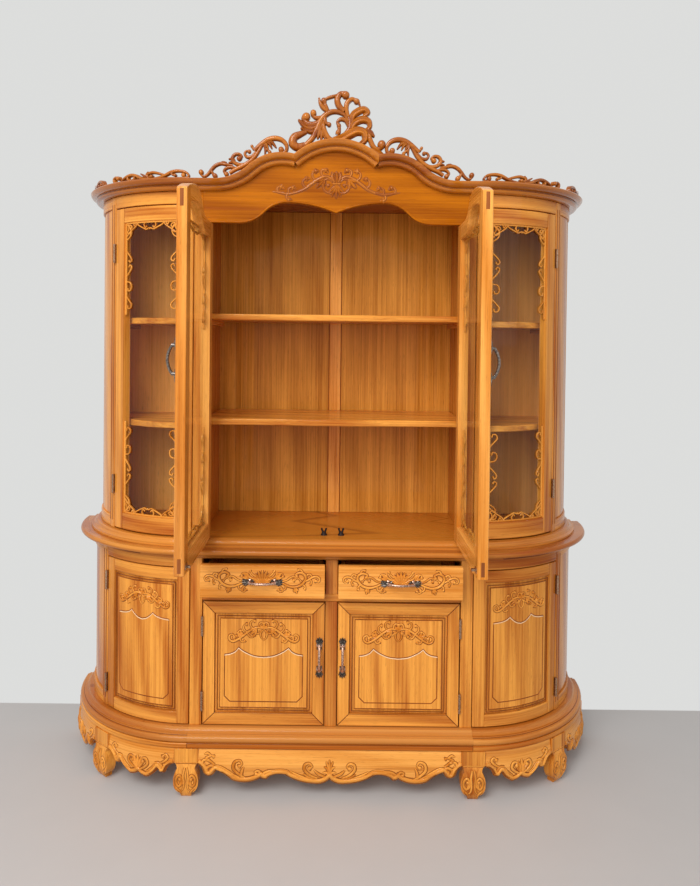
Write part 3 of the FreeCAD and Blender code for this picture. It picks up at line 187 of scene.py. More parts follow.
# golden hardwood under clear lacquer; the grain runs along x of the grain attribute
def lacqueredWood(name, **changes):
    look = dict(lacquer, **changes)
    material, wire = newMaterial(name)
    grain = wire.attribute("grain", 1)
    tone = wire.attribute("tone", 2)
    heart = wire.attribute("heart", 2)
    groove = wire.attribute("groove", 2)
    bands = grain.scaled(look["bandStretch"]).noise(1, 4, 0.55, 0.6)
    figure = wire.node("ShaderNodeTexWave", {"wave_type": "BANDS", "bands_direction": "DIAGONAL"}, {
        "Vector": grain.scaled(look["figureStretch"]), "Scale": 1.0, "Distortion": 7.0, "Detail": 2.5,
        "Detail Scale": 0.8, "Detail Roughness": 0.55})
    fibre = grain.scaled(look["fibreStretch"]).noise(1, 2, 0.6, 0.2)
    pores = grain.scaled(look["poreStretch"]).noise(1, 1, 0.5, 0).between(0.64, 0.74)
    streaks = grain.scaled(look["streakStretch"]).noise(1, 3, 0.6, 0.3).between(0.38, 0.68)
    shade = (bands - 0.5) * look["bands"] + (figure - 0.5) * look["figure"] + fibre * 0.3 + tone * 0.5
    board = wire.blend(shade.between(0.05, 0.57) - streaks * look["streaks"], look["dark"], look["light"])
    veins = grain.scaled(look["veinStretch"]).noise(1, 3, 0.5, 0.8).between(0.58, 0.76)
    # the red mask reddens heartwood and paints the mullion darker, partly as painted shade
    aged = wire.blend(heart * (1.3 - bands) + veins * look["veins"], board, look["red"])
    speckled = wire.blend(pores * 0.45, aged, look["pore"])
    # the groove mask paints that dark colour: stain and dark joints, and painted shade in hollows and round
    # carved strokes
    coloured = wire.blend(groove * 0.9, speckled, look["groove"])
    bump = wire.node("ShaderNodeBump", {}, {
        "Strength": 0.06, "Distance": 0.0006, "Height": fibre - pores * 0.5})
    shader = wire.node("ShaderNodeBsdfPrincipled", {}, {
        "Base Color": coloured, "Roughness": fibre * 0.12 + 0.22, "Normal": bump,
        "Specular IOR Level": look["specular"], "Coat Weight": look["coat"],
        "Coat Roughness": look["coatRoughness"]})
    finishShader(shader)
    return material


# antique bronze, dark in the hollows and rubbed bright on the heights
def antiqueMetal(name, bright, dark=(0.05, 0.035, 0.028, 1)):
    material, wire = newMaterial(name)
    wear = wire.objectPlace().noise(260, 3, 0.6, 0)
    hollow = wire.attribute("groove", 2)
    colour = wire.blend(wear.between(0.3, 0.65) * (1 - hollow * 0.8), dark, bright)
    shader = wire.node("ShaderNodeBsdfPrincipled", {}, {
        "Base Color": colour, "Metallic": 0.95, "Roughness": wear * 0.25 + 0.16})
    finishShader(shader)
    return material


def blackMetal(name):
    material, wire = newMaterial(name)
    wear = wire.objectPlace().noise(400, 2, 0.5, 0)
    colour = wire.blend(wear, (0.010, 0.006, 0.005, 1), (0.035, 0.018, 0.014, 1))
    shader = wire.node("ShaderNodeBsdfPrincipled", {}, {
        "Base Color": colour, "Roughness": wear * 0.2 + 0.4, "Specular IOR Level": 0.2})
    finishShader(shader)
    return material


def clearGlass(name):
    material, wire = newMaterial(name)
    waviness = wire.objectPlace().noise(3.5, 1, 0.4, 0)
    bump = wire.node("ShaderNodeBump", {}, {"Strength": 0.1, "Distance": 0.002, "Height": waviness})
    fresnel = wire.node("ShaderNodeFresnel", {}, {"IOR": 1.45})
    behind = wire.node("ShaderNodeNewGeometry", {}, {}, 6)
    through = wire.node("ShaderNodeBsdfTransparent", {}, {"Color": (0.97, 0.98, 0.97, 1)})
    mirror = wire.node("ShaderNodeBsdfPrincipled", {}, {
        "Base Color": (0.85, 0.87, 0.86, 1), "Metallic": 1.0, "Roughness": 0.02, "Normal": bump})
    shader = wire.node("ShaderNodeMixShader", {}, {0: fresnel * 0.6 * (1 - behind), 1: through, 2: mirror})
    finishShader(shader)
    return material


def tintedWood(name, light, dark, **changes):
    return lacqueredWood(name, light=light + (1,), dark=dark + (1,), **changes)


backLook = {
    "bands": 0.5, "figure": 0.1, "streakStretch": (0.5, 180, 180), "streaks": 0.45, "veins": 0.1, "coat": 0.2,
    "specular": 0.05,
}
wood = lacqueredWood("lacquered_hardwood")
carvedWood = lacqueredWood("carved_hardwood", bandStretch=(3, 40, 40), dark=(0.56, 0.17, 0.012, 1))
amberWood = tintedWood("amber_hardwood", (0.56, 0.180, 0.014), (0.28, 0.062, 0.004), coat=0.8)
headerWood = tintedWood("deep_amber_hardwood", (0.49, 0.140, 0.003), (0.27, 0.062, 0.001), coat=0.1,
                        specular=0.05)
paleWood = tintedWood("pale_hardwood", (0.96, 0.43, 0.090), (0.60, 0.185, 0.014), veins=0.35)
darkWood = tintedWood("shaded_hardwood", (0.62, 0.22, 0.024), (0.36, 0.100, 0.006), figure=0.1, coat=0.2,
                      specular=0.05)
backWood = tintedWood("streaked_hardwood", (0.84, 0.37, 0.060), (0.40, 0.130, 0.010), **backLook)
# a paler copy of the back wood for the side bays: painted light
paintedLightBayWood = tintedWood("pale_streaked_hardwood", (1.0, 0.50, 0.13), (0.70, 0.27, 0.035), **backLook)
# a pale wood for the bead under each swag line: a painted highlight
paintedHighlightWood = tintedWood("bright_edge_hardwood", (1.0, 0.70, 0.42), (0.92, 0.54, 0.26), veins=0.0)
# dark wood for lines and the roof board: stain and dark joints in the lines, painted shade in the grooves
# they stand for and under the roof
lineWood = tintedWood("stained_hardwood", (0.34, 0.085, 0.010), (0.17, 0.035, 0.004))
endWood = tintedWood("end_grain", (0.34, 0.10, 0.022), (0.16, 0.040, 0.008))
woods = (wood, carvedWood, amberWood, headerWood, paleWood, darkWood, backWood, paintedLightBayWood, paintedHighlightWood,
         lineWood, endWood)
bronze = antiqueMetal("antique_bronze", (0.36, 0.31, 0.27, 1))
copper = antiqueMetal("rubbed_copper", (0.90, 0.60, 0.46, 1), (0.16, 0.08, 0.05, 1))
dullMetal = antiqueMetal("dull_hinge_metal", (0.50, 0.33, 0.22, 1), (0.28, 0.15, 0.08, 1))
black = blackMetal("black_metal")
glass = clearGlass("clear_glass")
print("materials made")


# groups of joined vertices
def islandsOf(bm):
    seen = set()
    found = []
    for first in bm.verts:
        if first in seen:
            continue
        seen.add(first)
        group = [first]
        for vert in group:
            for edge in vert.link_edges:
                other = edge.other_vert(vert)
                if other not in seen:
                    seen.add(other)
                    group.append(other)
        found.append(group)
    return found


def middleOf(group):
    return sum((vert.co for vert in group), Vector()) / len(group)


# deletes the boards whose middle is not wanted
def keepGroups(bm, wanted):
    dropped = [vert for group in islandsOf(bm) if not wanted(middleOf(group)) for vert in group]
    bmesh.ops.delete(bm, geom=dropped, context="VERTS")


# turn, radius and height about the upright axis of the near end
def roundPlace(point):
    side = 1 if point.x > 0 else -1
    out = abs(point.x) - halfFlat
    ahead = centreY - point.y
    return Vector((side * math.atan2(out, ahead), math.hypot(out, ahead), point.z))


# where the boards of the ends begin, the depth that still counts as bent, and what is drawn for each board
boardPlan = {
    "end": halfFlat - 0.002, "bent": 0.12, "shift": 9, "tones": (0.38, 0.80), "reds": (0, 0.05, 0.15),
    # the mullion is painted redder and darker: partly its red lacquer, partly painted shade
    "mullion": 0.03, "mullionRed": 0.4,
}


# grain along the longest way of each board, with a shift and a tone of its own; the mullion is redder and
# darker, partly its own red lacquer and partly painted shade
def addGrain(bm, seed, along=None, heartwood=0.0):
    dice = random.Random(seed)
    grain = bm.verts.layers.float_vector.new("grain")
    tone = bm.verts.layers.float.new("tone")
    heart = bm.verts.layers.float.new("heart")
    for group in islandsOf(bm):
        places = [vert.co.copy() for vert in group]
        atEnd = min(abs(place.x) for place in places) > boardPlan["end"]
        farthest = max(abs(place.x) for place in places)
        if atEnd:
            turned = [roundPlace(place) for place in places]
            radii = [place.y for place in turned]
            if max(radii) - min(radii) < boardPlan["bent"]:
                mean = sum(radii) / len(radii)
                places = [Vector((place.x * mean, place.y, place.z)) for place in turned]
        spans = [max(column) - min(column) for column in zip(*places)]
        axis = spans.index(max(spans)) if along is None else along
        shift = Vector([dice.uniform(0, boardPlan["shift"]) for way in range(3)])
        level = dice.uniform(*boardPlan["tones"])
        red = dice.choice(boardPlan["reds"]) if heartwood else 0
        if atEnd:
            red = max(red, heartwood)
        if heartwood and farthest < boardPlan["mullion"]:
            red = boardPlan["mullionRed"]
        for vert, place in zip(group, places):
            vert[grain] = Vector((place[axis], place[axis - 1], place[axis - 2])) + shift
            vert[tone] = level
            vert[heart] = red


def makePiece(name, bm, body, material, replaced=(), along=None, weighted=True, angle=35,
              heartwood=0.0):
    if material in woods:
        addGrain(bm, name, along, heartwood)
    mesh = bpy.data.meshes.new(name)
    bm.to_mesh(mesh)
    bm.free()
    mesh.shade_smooth()
    mesh.set_sharp_from_angle(angle=math.radians(angle))
    mesh.materials.append(material)
    piece = bpy.data.objects.new(name, mesh)
    scene.collection.objects.link(piece)
    if weighted:
        flat = piece.modifiers.new("weighted", "WEIGHTED_NORMAL")
        flat.keep_sharp = True
    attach(piece, body)
    if replaced:
        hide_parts(*replaced)
    return piece


# points nearer than the weld are one, and so are faces that meet at less than the flat angle
mendPlan = {"weld": 0.00002, "flat": 0.8, "spots": 50000}
# the rounded hollows and joints are painted dark: stain at the joints, stain and painted shade in the hollows
edgePlan = {
    "sharp": 28, "segments": 2, "hollow": 1.3, "joint": 0.45, "leastJoint": 0.0011, "stain": 0.9,
    "spots": 10000,
}


# a place in whole steps, so many to the metre
def spotOf(vert, steps):
    return tuple(round(part * steps) for part in vert.co)


# the solids of a node as lists of faces: a solid is whole when no edge is left open
def solidsOf(bm):
    solids = [[]]
    unmet = set()
    for face in bm.faces:
        spots = [spotOf(vert, mendPlan["spots"]) for vert in face.verts]
        for first, second in zip(spots, spots[1:] + spots[:1]):
            unmet ^= {(min(first, second), max(first, second))}
        solids[-1].append(face)
        if not unmet:
            solids.append([])
    return [solid for solid in solids if solid]


# a copy of a node with each solid apart, merged, and its flat faces whole again
def copyNode(name):
    bm = bmesh.new()
    bm.from_mesh(nodes[name].data)
    bm.faces.ensure_lookup_table()
    for solid in solidsOf(bm):
        parted = bmesh.ops.split(bm, geom=solid)["geom"]
        verts = [item for item in parted if isinstance(item, bmesh.types.BMVert)]
        bmesh.ops.remove_doubles(bm, verts=verts, dist=mendPlan["weld"])
    bmesh.ops.dissolve_limit(bm, angle_limit=math.radians(mendPlan["flat"]), use_dissolve_boundaries=False,
                             verts=bm.verts, edges=bm.edges, delimit=set())
    return bm


# rounds the sharp edges, and only just those where one board meets another; rounded joints are stained dark,
# and rounded hollows get stain with painted shade
def softenEdges(bm, width):
    corner = math.radians(edgePlan["sharp"])
    groove = bm.loops.layers.float.new("groove")
    meetings = {}

    def boardsAt(vert):
        return meetings.setdefault(spotOf(vert, edgePlan["spots"]), set())

    for number, group in enumerate(islandsOf(bm)):
        for vert in group:
            boardsAt(vert).add(number)
    outer, hollows, joints = [], [], []
    for edge in bm.edges:
        if len(edge.link_faces) == 2 and edge.calc_face_angle(0) > corner:
            shared = all(len(boardsAt(vert)) > 1 for vert in edge.verts)
            (joints if shared else outer if edge.is_convex else hollows).append(edge)
    narrow = max(width * edgePlan["joint"], edgePlan["leastJoint"])
    # the hollows and joints are painted dark: stain at the joints, stain and painted shade in the hollows
    for edges, size, stain in ((outer, width, 0), (hollows, width * edgePlan["hollow"], edgePlan["stain"]),
                               (joints, narrow, edgePlan["stain"])):
        edges = [edge for edge in edges if edge.is_valid]
        rounded = bmesh.ops.bevel(bm, geom=edges, offset=size, offset_type="OFFSET", profile=0.5,
                                  segments=edgePlan["segments"], affect="EDGES", clamp_overlap=True,
                                  material=-1)
        for face in rounded["faces"]:
            for loop in face.loops:
                loop[groove] = stain


def dressNode(name, material, width, along=None, shape=None, heartwood=0.0, ending="_finish"):
    bm = copyNode(name)
    if shape:
        shape(bm)
    softenEdges(bm, width)
    return makePiece(name + ending, bm, bodyOf[name], material, (name,), along, heartwood=heartwood)


boardEdges = {
    "base_band": 0.004, "plinth_moulding": 0.002, "lower_floor": 0.001, "lower_frame": 0.0025,
    "lower_partitions": 0.001, "lower_side_panels": 0.002, "lower_back": 0.001, "cleats_and_runners": 0.0012,
    "lower_top": 0.001, "waist_moulding": 0.002, "upper_floor": 0.001, "upper_base_moulding": 0.0015,
    "upper_frame": 0.0025, "upper_partitions": 0.0012, "upper_side_panels": 0.002, "shelves": 0.0035,
    "roof_board": 0.001, "header_board": 0.0015, "cornice_moulding": 0.0016, "aprons": 0.002, "feet": 0.003,
}
doorEdges = {
    "glass_door_frame": 0.0028, "side_glass_door_frame": 0.0028, "lower_side_door_frame": 0.003,
    "lower_door_frame": 0.003, "drawer_front": 0.003, "drawer_box": 0.0012, "lower_door_panel": 0.0025,
    "lower_side_door_panel": 0.0025,
}
redEnds = {
    "plinth_moulding": 0.55, "waist_moulding": 0.45, "upper_base_moulding": 0.35, "lower_frame": 0.15,
    "upper_frame": 0.25,
}
tinted = {
    # the roof board's dark wood is painted shade under the roof
    "header_board": headerWood, "roof_board": lineWood, "cornice_moulding": amberWood,
    "upper_partitions": darkWood, "upper_floor": darkWood, "lower_partitions": darkWood,
    "lower_floor": darkWood, "lower_back": darkWood, "drawer_front": paleWood,
    "glass_door_frame": paleWood, "plinth_moulding": paleWood, "aprons": paleWood,
}
for nodeName, edgeWidth in boardEdges.items():
    dressNode(nodeName, tinted.get(nodeName, wood), edgeWidth, heartwood=redEnds.get(nodeName, 0))
for side in sides:
    for kind, edgeWidth in doorEdges.items():
        dressNode("%s_%s" % (side, kind), tinted.get(kind, wood), edgeWidth,
                  heartwood=0.1 if kind.endswith("frame") else 0)
print("boards dressed")


# planks of the back, each cut free so that it has its own grain
backPlanks = {"edges": (0.414, 0.6), "joint": 0.0016, "muntin": 0.03, "bay": 0.414}


def splitPlanks(bm):
    for edge in backPlanks["edges"]:
        for side in sides.values():
            cut = bmesh.ops.bisect_plane(bm, geom=bm.verts[:] + bm.edges[:] + bm.faces[:], dist=0.00001,
                                         plane_co=(side * edge, 0, 0), plane_no=(1, 0, 0))
            seam = [item for item in cut["geom_cut"] if isinstance(item, bmesh.types.BMEdge)]
            bmesh.ops.split_edges(bm, edges=seam)
    loose = [edge for edge in bm.edges if edge.is_boundary]
    bmesh.ops.holes_fill(bm, edges=loose, sides=0)


# only the boards whose middle lies between two distances from the centre line
def keepBoards(near, far):
    def shape(bm):
        splitPlanks(bm)
        keepGroups(bm, lambda spot: near <= abs(spot.x) < far)
    return shape


# the bays take the paler wood, painted light
for ending, backMaterial, near, far in (("_muntin", paleWood, 0, backPlanks["muntin"]),
                                        ("_middle", backWood, backPlanks["muntin"], backPlanks["bay"]),
                                        ("_bays", paintedLightBayWood, backPlanks["bay"], 1)):
    dressNode("upper_back", backMaterial, backPlanks["joint"], along=2, shape=keepBoards(near, far),
              ending=ending)
print("back planked")


def coverNode(name, material):
    for holder in nodes[name].material_slots:
        holder.material = material


for nodeName in nodes:
    if nodeName.endswith("_pane"):
        coverNode(nodeName, glass)
    elif "hinge" in nodeName:
        coverNode(nodeName, dullMetal)


# horned catches on the upper floor, inside the plain blocks of the node; those in the cupboards stay blocks
catchPlan = {
    "floor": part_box("upper_floor")[1].z, "foot": (0.0105, 0.0060, 0.010), "horn": (0.0038, 0.0026, 0.012),
    "apart": 0.0048, "lean": 20, "sunk": 0.3, "tip": 0.9, "edge": 0.0015,
}


def hornedCatches():
    bm = copyNode("door_catches")
    middles = [middleOf(group) for group in islandsOf(bm)]
    spots = [spot for spot in middles if spot.z > catchPlan["floor"]]
    keepGroups(bm, lambda spot: spot.z < catchPlan["floor"])
    softenEdges(bm, catchPlan["edge"])
    footLow, footHigh, footTall = catchPlan["foot"]
    hornLow, hornHigh, hornTall = catchPlan["horn"]
    for spot in spots:
        middle = Matrix.Translation((spot.x, spot.y, catchPlan["floor"]))
        bmesh.ops.create_cone(bm, cap_ends=True, segments=24, radius1=footLow, radius2=footHigh,
                              depth=footTall, matrix=middle @ Matrix.Translation((0, 0, footTall / 2)))
        for way in (-1, 1):
            root = Matrix.Translation((way * catchPlan["apart"], 0, footTall + hornTall * catchPlan["sunk"]))
            horn = middle @ root @ Matrix.Rotation(math.radians(catchPlan["lean"]) * way, 4, "Y")
            bmesh.ops.create_cone(bm, cap_ends=True, segments=16, radius1=hornLow, radius2=hornHigh,
                                  depth=hornTall, matrix=horn)
            bmesh.ops.create_uvsphere(bm, u_segments=16, v_segments=10, radius=hornLow * catchPlan["tip"],
                                      matrix=horn @ Matrix.Translation((0, 0, hornTall / 2)))
    makePiece("door_catches_finish", bm, bodyOf["door_catches"], black, ("door_catches",))


hornedCatches()


pullPlan = {
    "doorPull": (0.0355, -0.022, 0.4115), "glassPull": (0.405, -0.3795, 1.333), "reach": 0.07, "end": 0.037,
}


# the bow of a pull in its own metal, apart from the hinge leaves beside it
def partHardware(name, middle, metal=copper):
    for ending, finish, near in (("_bow", metal, True), ("_leaves", dullMetal, False)):
        bm = copyNode(name)
        keepGroups(bm, lambda spot: ((spot - middle).length < pullPlan["reach"]) == near)
        if bm.verts:
            makePiece(name + ending, bm, bodyOf[name], finish)
        else:
            bm.free()
    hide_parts(name)


for sideName, sideSign in sides.items():
    mirror = Vector((sideSign, 1, 1))
    low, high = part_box(sideName + "_drawer_pull")
    partHardware(sideName + "_drawer_pull", (low + high) / 2)
    partHardware(sideName + "_lower_door_hardware", Vector(pullPlan["doorPull"]) * mirror)
    partHardware(sideName + "_glass_door_hardware", Vector(pullPlan["glassPull"]) * mirror, bronze)
print("hardware parted")


# how strokes are drawn; an even one keeps its width
inkPlan = {"ballReach": 1.6, "endRound": (0.5, 0.8, 0.97), "curling": 1.6, "ruledStep": 0.008}
evenInk = {"root": 1, "tip": 1, "swell": 0}


# a line given the swelling of a carved stroke, closed in a round at its end
def inked(line, width, root=0.7, tip=0.45, swell=0.35, ball=0.0):
    lengths = [0.0]
    for first, second in zip(line, line[1:]):
        lengths.append(lengths[-1] + (second - first).length)
    total = lengths[-1]
    points = []
    for place, length in zip(line, lengths):
        share = length / total
        radius = width * (root + (tip - root) * share + swell * math.sin(math.pi * share))
        if ball:
            near = max(0, 1 - (total - length) / (inkPlan["ballReach"] * ball))
            radius = max(radius, ball * math.sin(math.pi / 2 * near))
        points.append((place.x, place.y, radius))
    ways = [second - first for first, second in zip(line, line[1:])]
    turns = [math.degrees(math.atan2(way.y, way.x)) for way in ways + ways[-1:]]
    last = line[-1]
    end = points[-1][2]
    way = ways[-1].normalized()
    for part in inkPlan["endRound"]:
        place = last + way * end * part
        points.append((place.x, place.y, end * math.sqrt(1 - part * part)))
    return {"points": points, "turns": turns}


def evenLine(line, width):
    return inked(line, width, **evenInk)


# a stroke that sets out with a heading and turns more and more along its length
def tendril(u, v, heading, length, sweep, width, steps=20, **more):
    here = Vector((u, v))
    line = [here]
    for index in range(steps):
        turn = math.radians(heading + sweep * ((index + 0.5) / steps) ** inkPlan["curling"])
        here = here + Vector((math.cos(turn), math.sin(turn))) * (length / steps)
        line.append(here)
    return inked(line, width, **more)


# twigs that grow out of a stem: share of its length, swing, length, sweep and end ball of each
def sprouts(stem, width, *twigs):
    grown = []
    for share, swing, length, sweep, ball in twigs:
        index = int(round(share * (len(stem["turns"]) - 1)))
        u, v = stem["points"][index][:2]
        grown.append(tendril(u, v, stem["turns"][index] + swing, length, sweep, width, ball=ball))
    return grown


# a smooth stroke through places given in millimetres
def stroke(places, width, samples=6, **more):
    spots = [Vector(place) * 0.001 for place in places]
    spots = [spots[0] * 2 - spots[1]] + spots + [spots[-1] * 2 - spots[-2]]
    line = []
    for before, start, stop, after in zip(spots, spots[1:], spots[2:], spots[3:]):
        for index in range(samples):
            t = index / samples
            bend = 2 * before - 5 * start + 4 * stop - after
            twist = 3 * start - before - 3 * stop + after
            line.append(0.5 * (2 * start + (stop - before) * t + bend * t * t + twist * t * t * t))
    line.append(spots[-2])
    return inked(line, width, **more)


# a line of even width through places given in metres
def ruled(places, width):
    spots = [Vector(place) for place in places]
    line = spots[:1]
    for start, stop in zip(spots, spots[1:]):
        count = max(1, int((stop - start).length / inkPlan["ruledStep"]))
        line += [start.lerp(stop, (index + 1) / count) for index in range(count)]
    return evenLine(line, width)


def flipped(strokes):
    return [dict(item, points=[(-u, v, r) for u, v, r in item["points"]]) for item in strokes]


def mirrored(strokes):
    return strokes + flipped(strokes)


def shifted(strokes, across, up, scale=1.0):
    return [dict(item, points=[(u * scale + across, v * scale + up, r * scale) for u, v, r in item["points"]])
            for item in strokes]


# lobes that fan out of one place
def fan(u, v, heading, reach, spread, count, width):
    lobes = []
    for index in range(count):
        share = index / (count - 1) * 2 - 1
        length = reach * (1 - 0.25 * share * share)
        lobes.append(tendril(u, v, heading + spread / 2 * share, length, 0, width, root=0.4, tip=0.5,
                             swell=0.5, steps=8))
    return lobes


profiles = {
    "round": ((-1, -0.3), (-0.93, 0.2), (-0.62, 0.58), (0, 0.78), (0.62, 0.58), (0.93, 0.2), (1, -0.3)),
    "leaf": ((-1, -0.3), (-0.86, 0.28), (-0.48, 0.68), (0, 0.4), (0.48, 0.68), (0.86, 0.28), (1, -0.3)),
    "fret": ((-1, -0.6), (-1, 0.6), (-0.7, 0.9), (0.7, 0.9), (1, 0.6), (1, -0.6)),
    "ground": ((-1.55, -0.1), (-1.5, 0.03), (1.5, 0.03), (1.55, -0.1)),
}
profileCurves = {}
for profileName, corners in profiles.items():
    outline = bpy.data.curves.new("profile_" + profileName, "CURVE")
    outline.dimensions = "2D"
    spline = outline.splines.new("POLY")
    spline.points.add(len(corners) - 1)
    for point, (across, up) in zip(spline.points, corners):
        point.co = (across, up, 0, 1)
    spline.use_cyclic_u = True
    profileCurves[profileName] = bpy.data.objects.new("profile_" + profileName, outline)


# adds strokes swept with a profile to a mesh: u across, v up, w out of the surface
def sweepStrokes(bm, strokes, profile):
    data = bpy.data.curves.new("strokes", "CURVE")
    data.dimensions = "2D"
    data.bevel_mode = "OBJECT"
    data.bevel_object = profileCurves[profile]
    data.use_fill_caps = True
    for item in strokes:
        spline = data.splines.new("POLY")
        spline.points.add(len(item["points"]) - 1)
        for point, (u, v, radius) in zip(spline.points, item["points"]):
            point.co = (u, v, 0, 1)
            point.radius = radius
    holder = bpy.data.objects.new("strokes", data)
    scene.collection.objects.link(holder)
    mesh = bpy.data.meshes.new_from_object(holder.evaluated_get(bpy.context.evaluated_depsgraph_get()))
    bm.from_mesh(mesh)
    bpy.data.objects.remove(holder)
    bpy.data.curves.remove(data)
    bpy.data.meshes.remove(mesh)


# a tree for casting rays at a node
def nodeTree(name):
    bm = bmesh.new()
    bm.from_mesh(nodes[name].data)
    tree = BVHTree.FromBMesh(bm)
    bm.free()
    return tree


# surfaces that carving lies on
def onFront(y, side=1):
    return lambda u, v, w: Vector((side * u, y - w, v))


def onRound(radius, middle, side):
    def place(u, v, w):
        turn = math.radians(middle) + u / radius
        out = radius + w
        return Vector((side * (halfFlat + out * math.sin(turn)), centreY - out * math.cos(turn), v))
    return place


def onOpenDoor(x, side):
    return lambda u, v, w: Vector((side * (x + w), u, v))


# painted shade, with some stain, under flat work, and painted shade down the sides and on the backs of work
# that is deep enough to be pierced
shadowPlan = {"pierced": 0.003, "flat": 0.75, "sides": 0.6, "fade": 1.4}
# ground: how dark the ribbon round the strokes is painted, stain and painted shade
relief = {"ground": 1.0, "lift": 1.4, "bold": 1.2}


# carved strokes laid on a surface, with stain and painted shade round them when a ground is given; those of
# pierced work get painted shade down their sides
def carve(name, strokes, place, body, back=0.0015, replaced=(), profile="round", leaves=(),
          material=carvedWood, slot="carved_wood", ground=0.0, lift=1.0, bold=1.0, under=0.2):
    strokes, leaves = (
        [dict(item, points=[(u, v, radius * bold) for u, v, radius in item["points"]]) for item in group]
        for group in (strokes, leaves))
    bm = bmesh.new()
    groove = bm.verts.layers.float.new("groove")
    # a wider ribbon under the strokes, painted dark: stain and painted shade round the carving
    if ground:
        sweepStrokes(bm, strokes + leaves, "ground")
        for vert in bm.verts:
            vert[groove] = ground
    shadowed = len(bm.verts)
    sweepStrokes(bm, strokes, profile)
    if leaves:
        sweepStrokes(bm, leaves, "leaf")
    pierced = back > shadowPlan["pierced"]
    peak = max(vert.co.z for vert in bm.verts)
    for index, vert in enumerate(bm.verts):
        u, v, w = vert.co
        if w < 0:
            w = -back
            # the backs of strokes are painted dark: painted shade with some stain under flat work, painted
            # shade behind pierced work
            if index >= shadowed:
                vert[groove] = under if pierced else shadowPlan["flat"]
        else:
            # painted shade down the sides of pierced work, darkest at the back
            if pierced:
                vert[groove] = shadowPlan["sides"] * (1 - w / peak) ** shadowPlan["fade"]
            w *= lift
        vert.co = place(u, v, w)
    bmesh.ops.remove_doubles(bm, verts=bm.verts, dist=mendPlan["weld"])
    bmesh.ops.recalc_face_normals(bm, faces=bm.faces)
    return makePiece(name, bm, body, material, replaced, weighted=False, angle=60)


# vine and fleur on the header board, with stain and painted shade round the strokes
headerVine = {"point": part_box("header_board")[0].z + 0.033, "stem": 0.0034, "twig": 0.0025, "ground": 0.7}


def headerRelief():
    low = headerVine["point"]
    twig = headerVine["twig"]
    stem = headerVine["stem"]
    vine = stroke(((14, 104), (30, 112), (50, 106), (74, 90), (96, 73), (120, 62)), stem, tip=0.7)
    tail = stroke(((118, 63), (149, 57), (179, 62), (196, 64)), stem, tip=0.3)
    twigs = sprouts(vine, twig, (0.30, 62, 0.036, 190, 0.0048), (0.50, 66, 0.040, 150, 0.0048),
                    (0.78, 70, 0.040, 150, 0.0046))
    twigs += sprouts(tail, twig, (0.30, 70, 0.030, 150, 0.0040), (0.66, 58, 0.026, 150, 0.0046),
                     (0.35, -60, 0.022, -120, 0.0038))
    half = [vine, tail] + twigs + [
        stroke(((10, 60), (28, 63), (39, 76), (33, 88), (24, 84)), twig, ball=0.004),
        stroke(((12, 96), (24, 104), (40, 98), (42, 86)), twig, ball=0.0036),
        tendril(0.006, 0.094, 58, 0.030, 60, 0.0046, ball=0.004),
    ]
    leaves = fan(0.036, 0.104, -48, 0.036, 60, 3, 0.0052)
    for twigEnd in twigs:
        u, v = twigEnd["points"][-4][:2]
        leaves += fan(u, v, twigEnd["turns"][-1], 0.010, 170, 3, 0.0034)
    middle = [tendril(-0.011, 0.090, 0, 0.022, 0, 0.0032, **evenInk)]
    lobes = fan(0.0, 0.086, -90, 0.040, 84, 5, 0.0042)
    bud = [tendril(0, 0.092, 90, 0.036, 0, 0.0062, tip=0.2, swell=0.6)]
    carve("header_carving", shifted(mirrored(half) + middle, 0, low), onFront(upperFront), "cabinet",
          leaves=shifted(mirrored(leaves) + lobes + bud, 0, low), material=amberWood,
          **dict(relief, ground=headerVine["ground"]))


headerRelief()
print("header carved")


# scrolls and a shell round each drawer pull
def drawerRelief(name):
    low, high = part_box(name + "_drawer_front")
    twig = 0.0023
    arm = stroke(((54, 2), (70, -8), (89, -14), (108, -12), (122, -3), (130, 11), (127, 23), (114, 29),
                  (101, 24), (104, 17)), 0.003, tip=0.8, ball=0.004)
    tail = stroke(((125, 2), (138, 8), (150, 16), (163, 18), (172, 11), (169, 2), (160, 5)), 0.0028,
                  ball=0.004)
    twigs = sprouts(arm, twig, (0.12, -50, 0.024, -150, 0.0036), (0.40, -46, 0.020, -130, 0.0032),
                    (0.72, -60, 0.020, 120, 0.0034))
    twigs += sprouts(tail, twig, (0.30, 66, 0.020, 150, 0.0032), (0.20, -60, 0.020, -140, 0.0032))
    half = [
        arm,
        tail,
        stroke(((60, 2), (73, 6), (86, 15), (97, 17), (101, 10), (94, 6)), twig, ball=0.0038),
        stroke(((97, 15), (108, 12), (116, 4)), twig, ball=0.003),
    ] + twigs + [
        stroke(((44, -6), (54, -14), (62, -24), (54, -29), (48, -23)), twig, ball=0.0034),
        stroke(((16, 6), (34, 12), (48, 25), (60, 25), (62, 17)), 0.0028, ball=0.0036),
        stroke(((14, 14), (28, 22), (36, 33)), twig, ball=0.003),
    ]
    shell = fan(0, -0.002, 90, 0.036, 160, 9, 0.0046)
    leaves = fan(0.042, 0.010, 50, 0.022, 70, 3, 0.0038) + fan(0.098, -0.016, -70, 0.018, 60, 3, 0.0032)
    middle = (low + high) / 2
    leaves = shell + mirrored(leaves)
    carve(name + "_drawer_carving", shifted(mirrored(half), middle.x, middle.z), onFront(low.y),
          name + "_drawer", leaves=shifted(leaves, middle.x, middle.z), **relief)


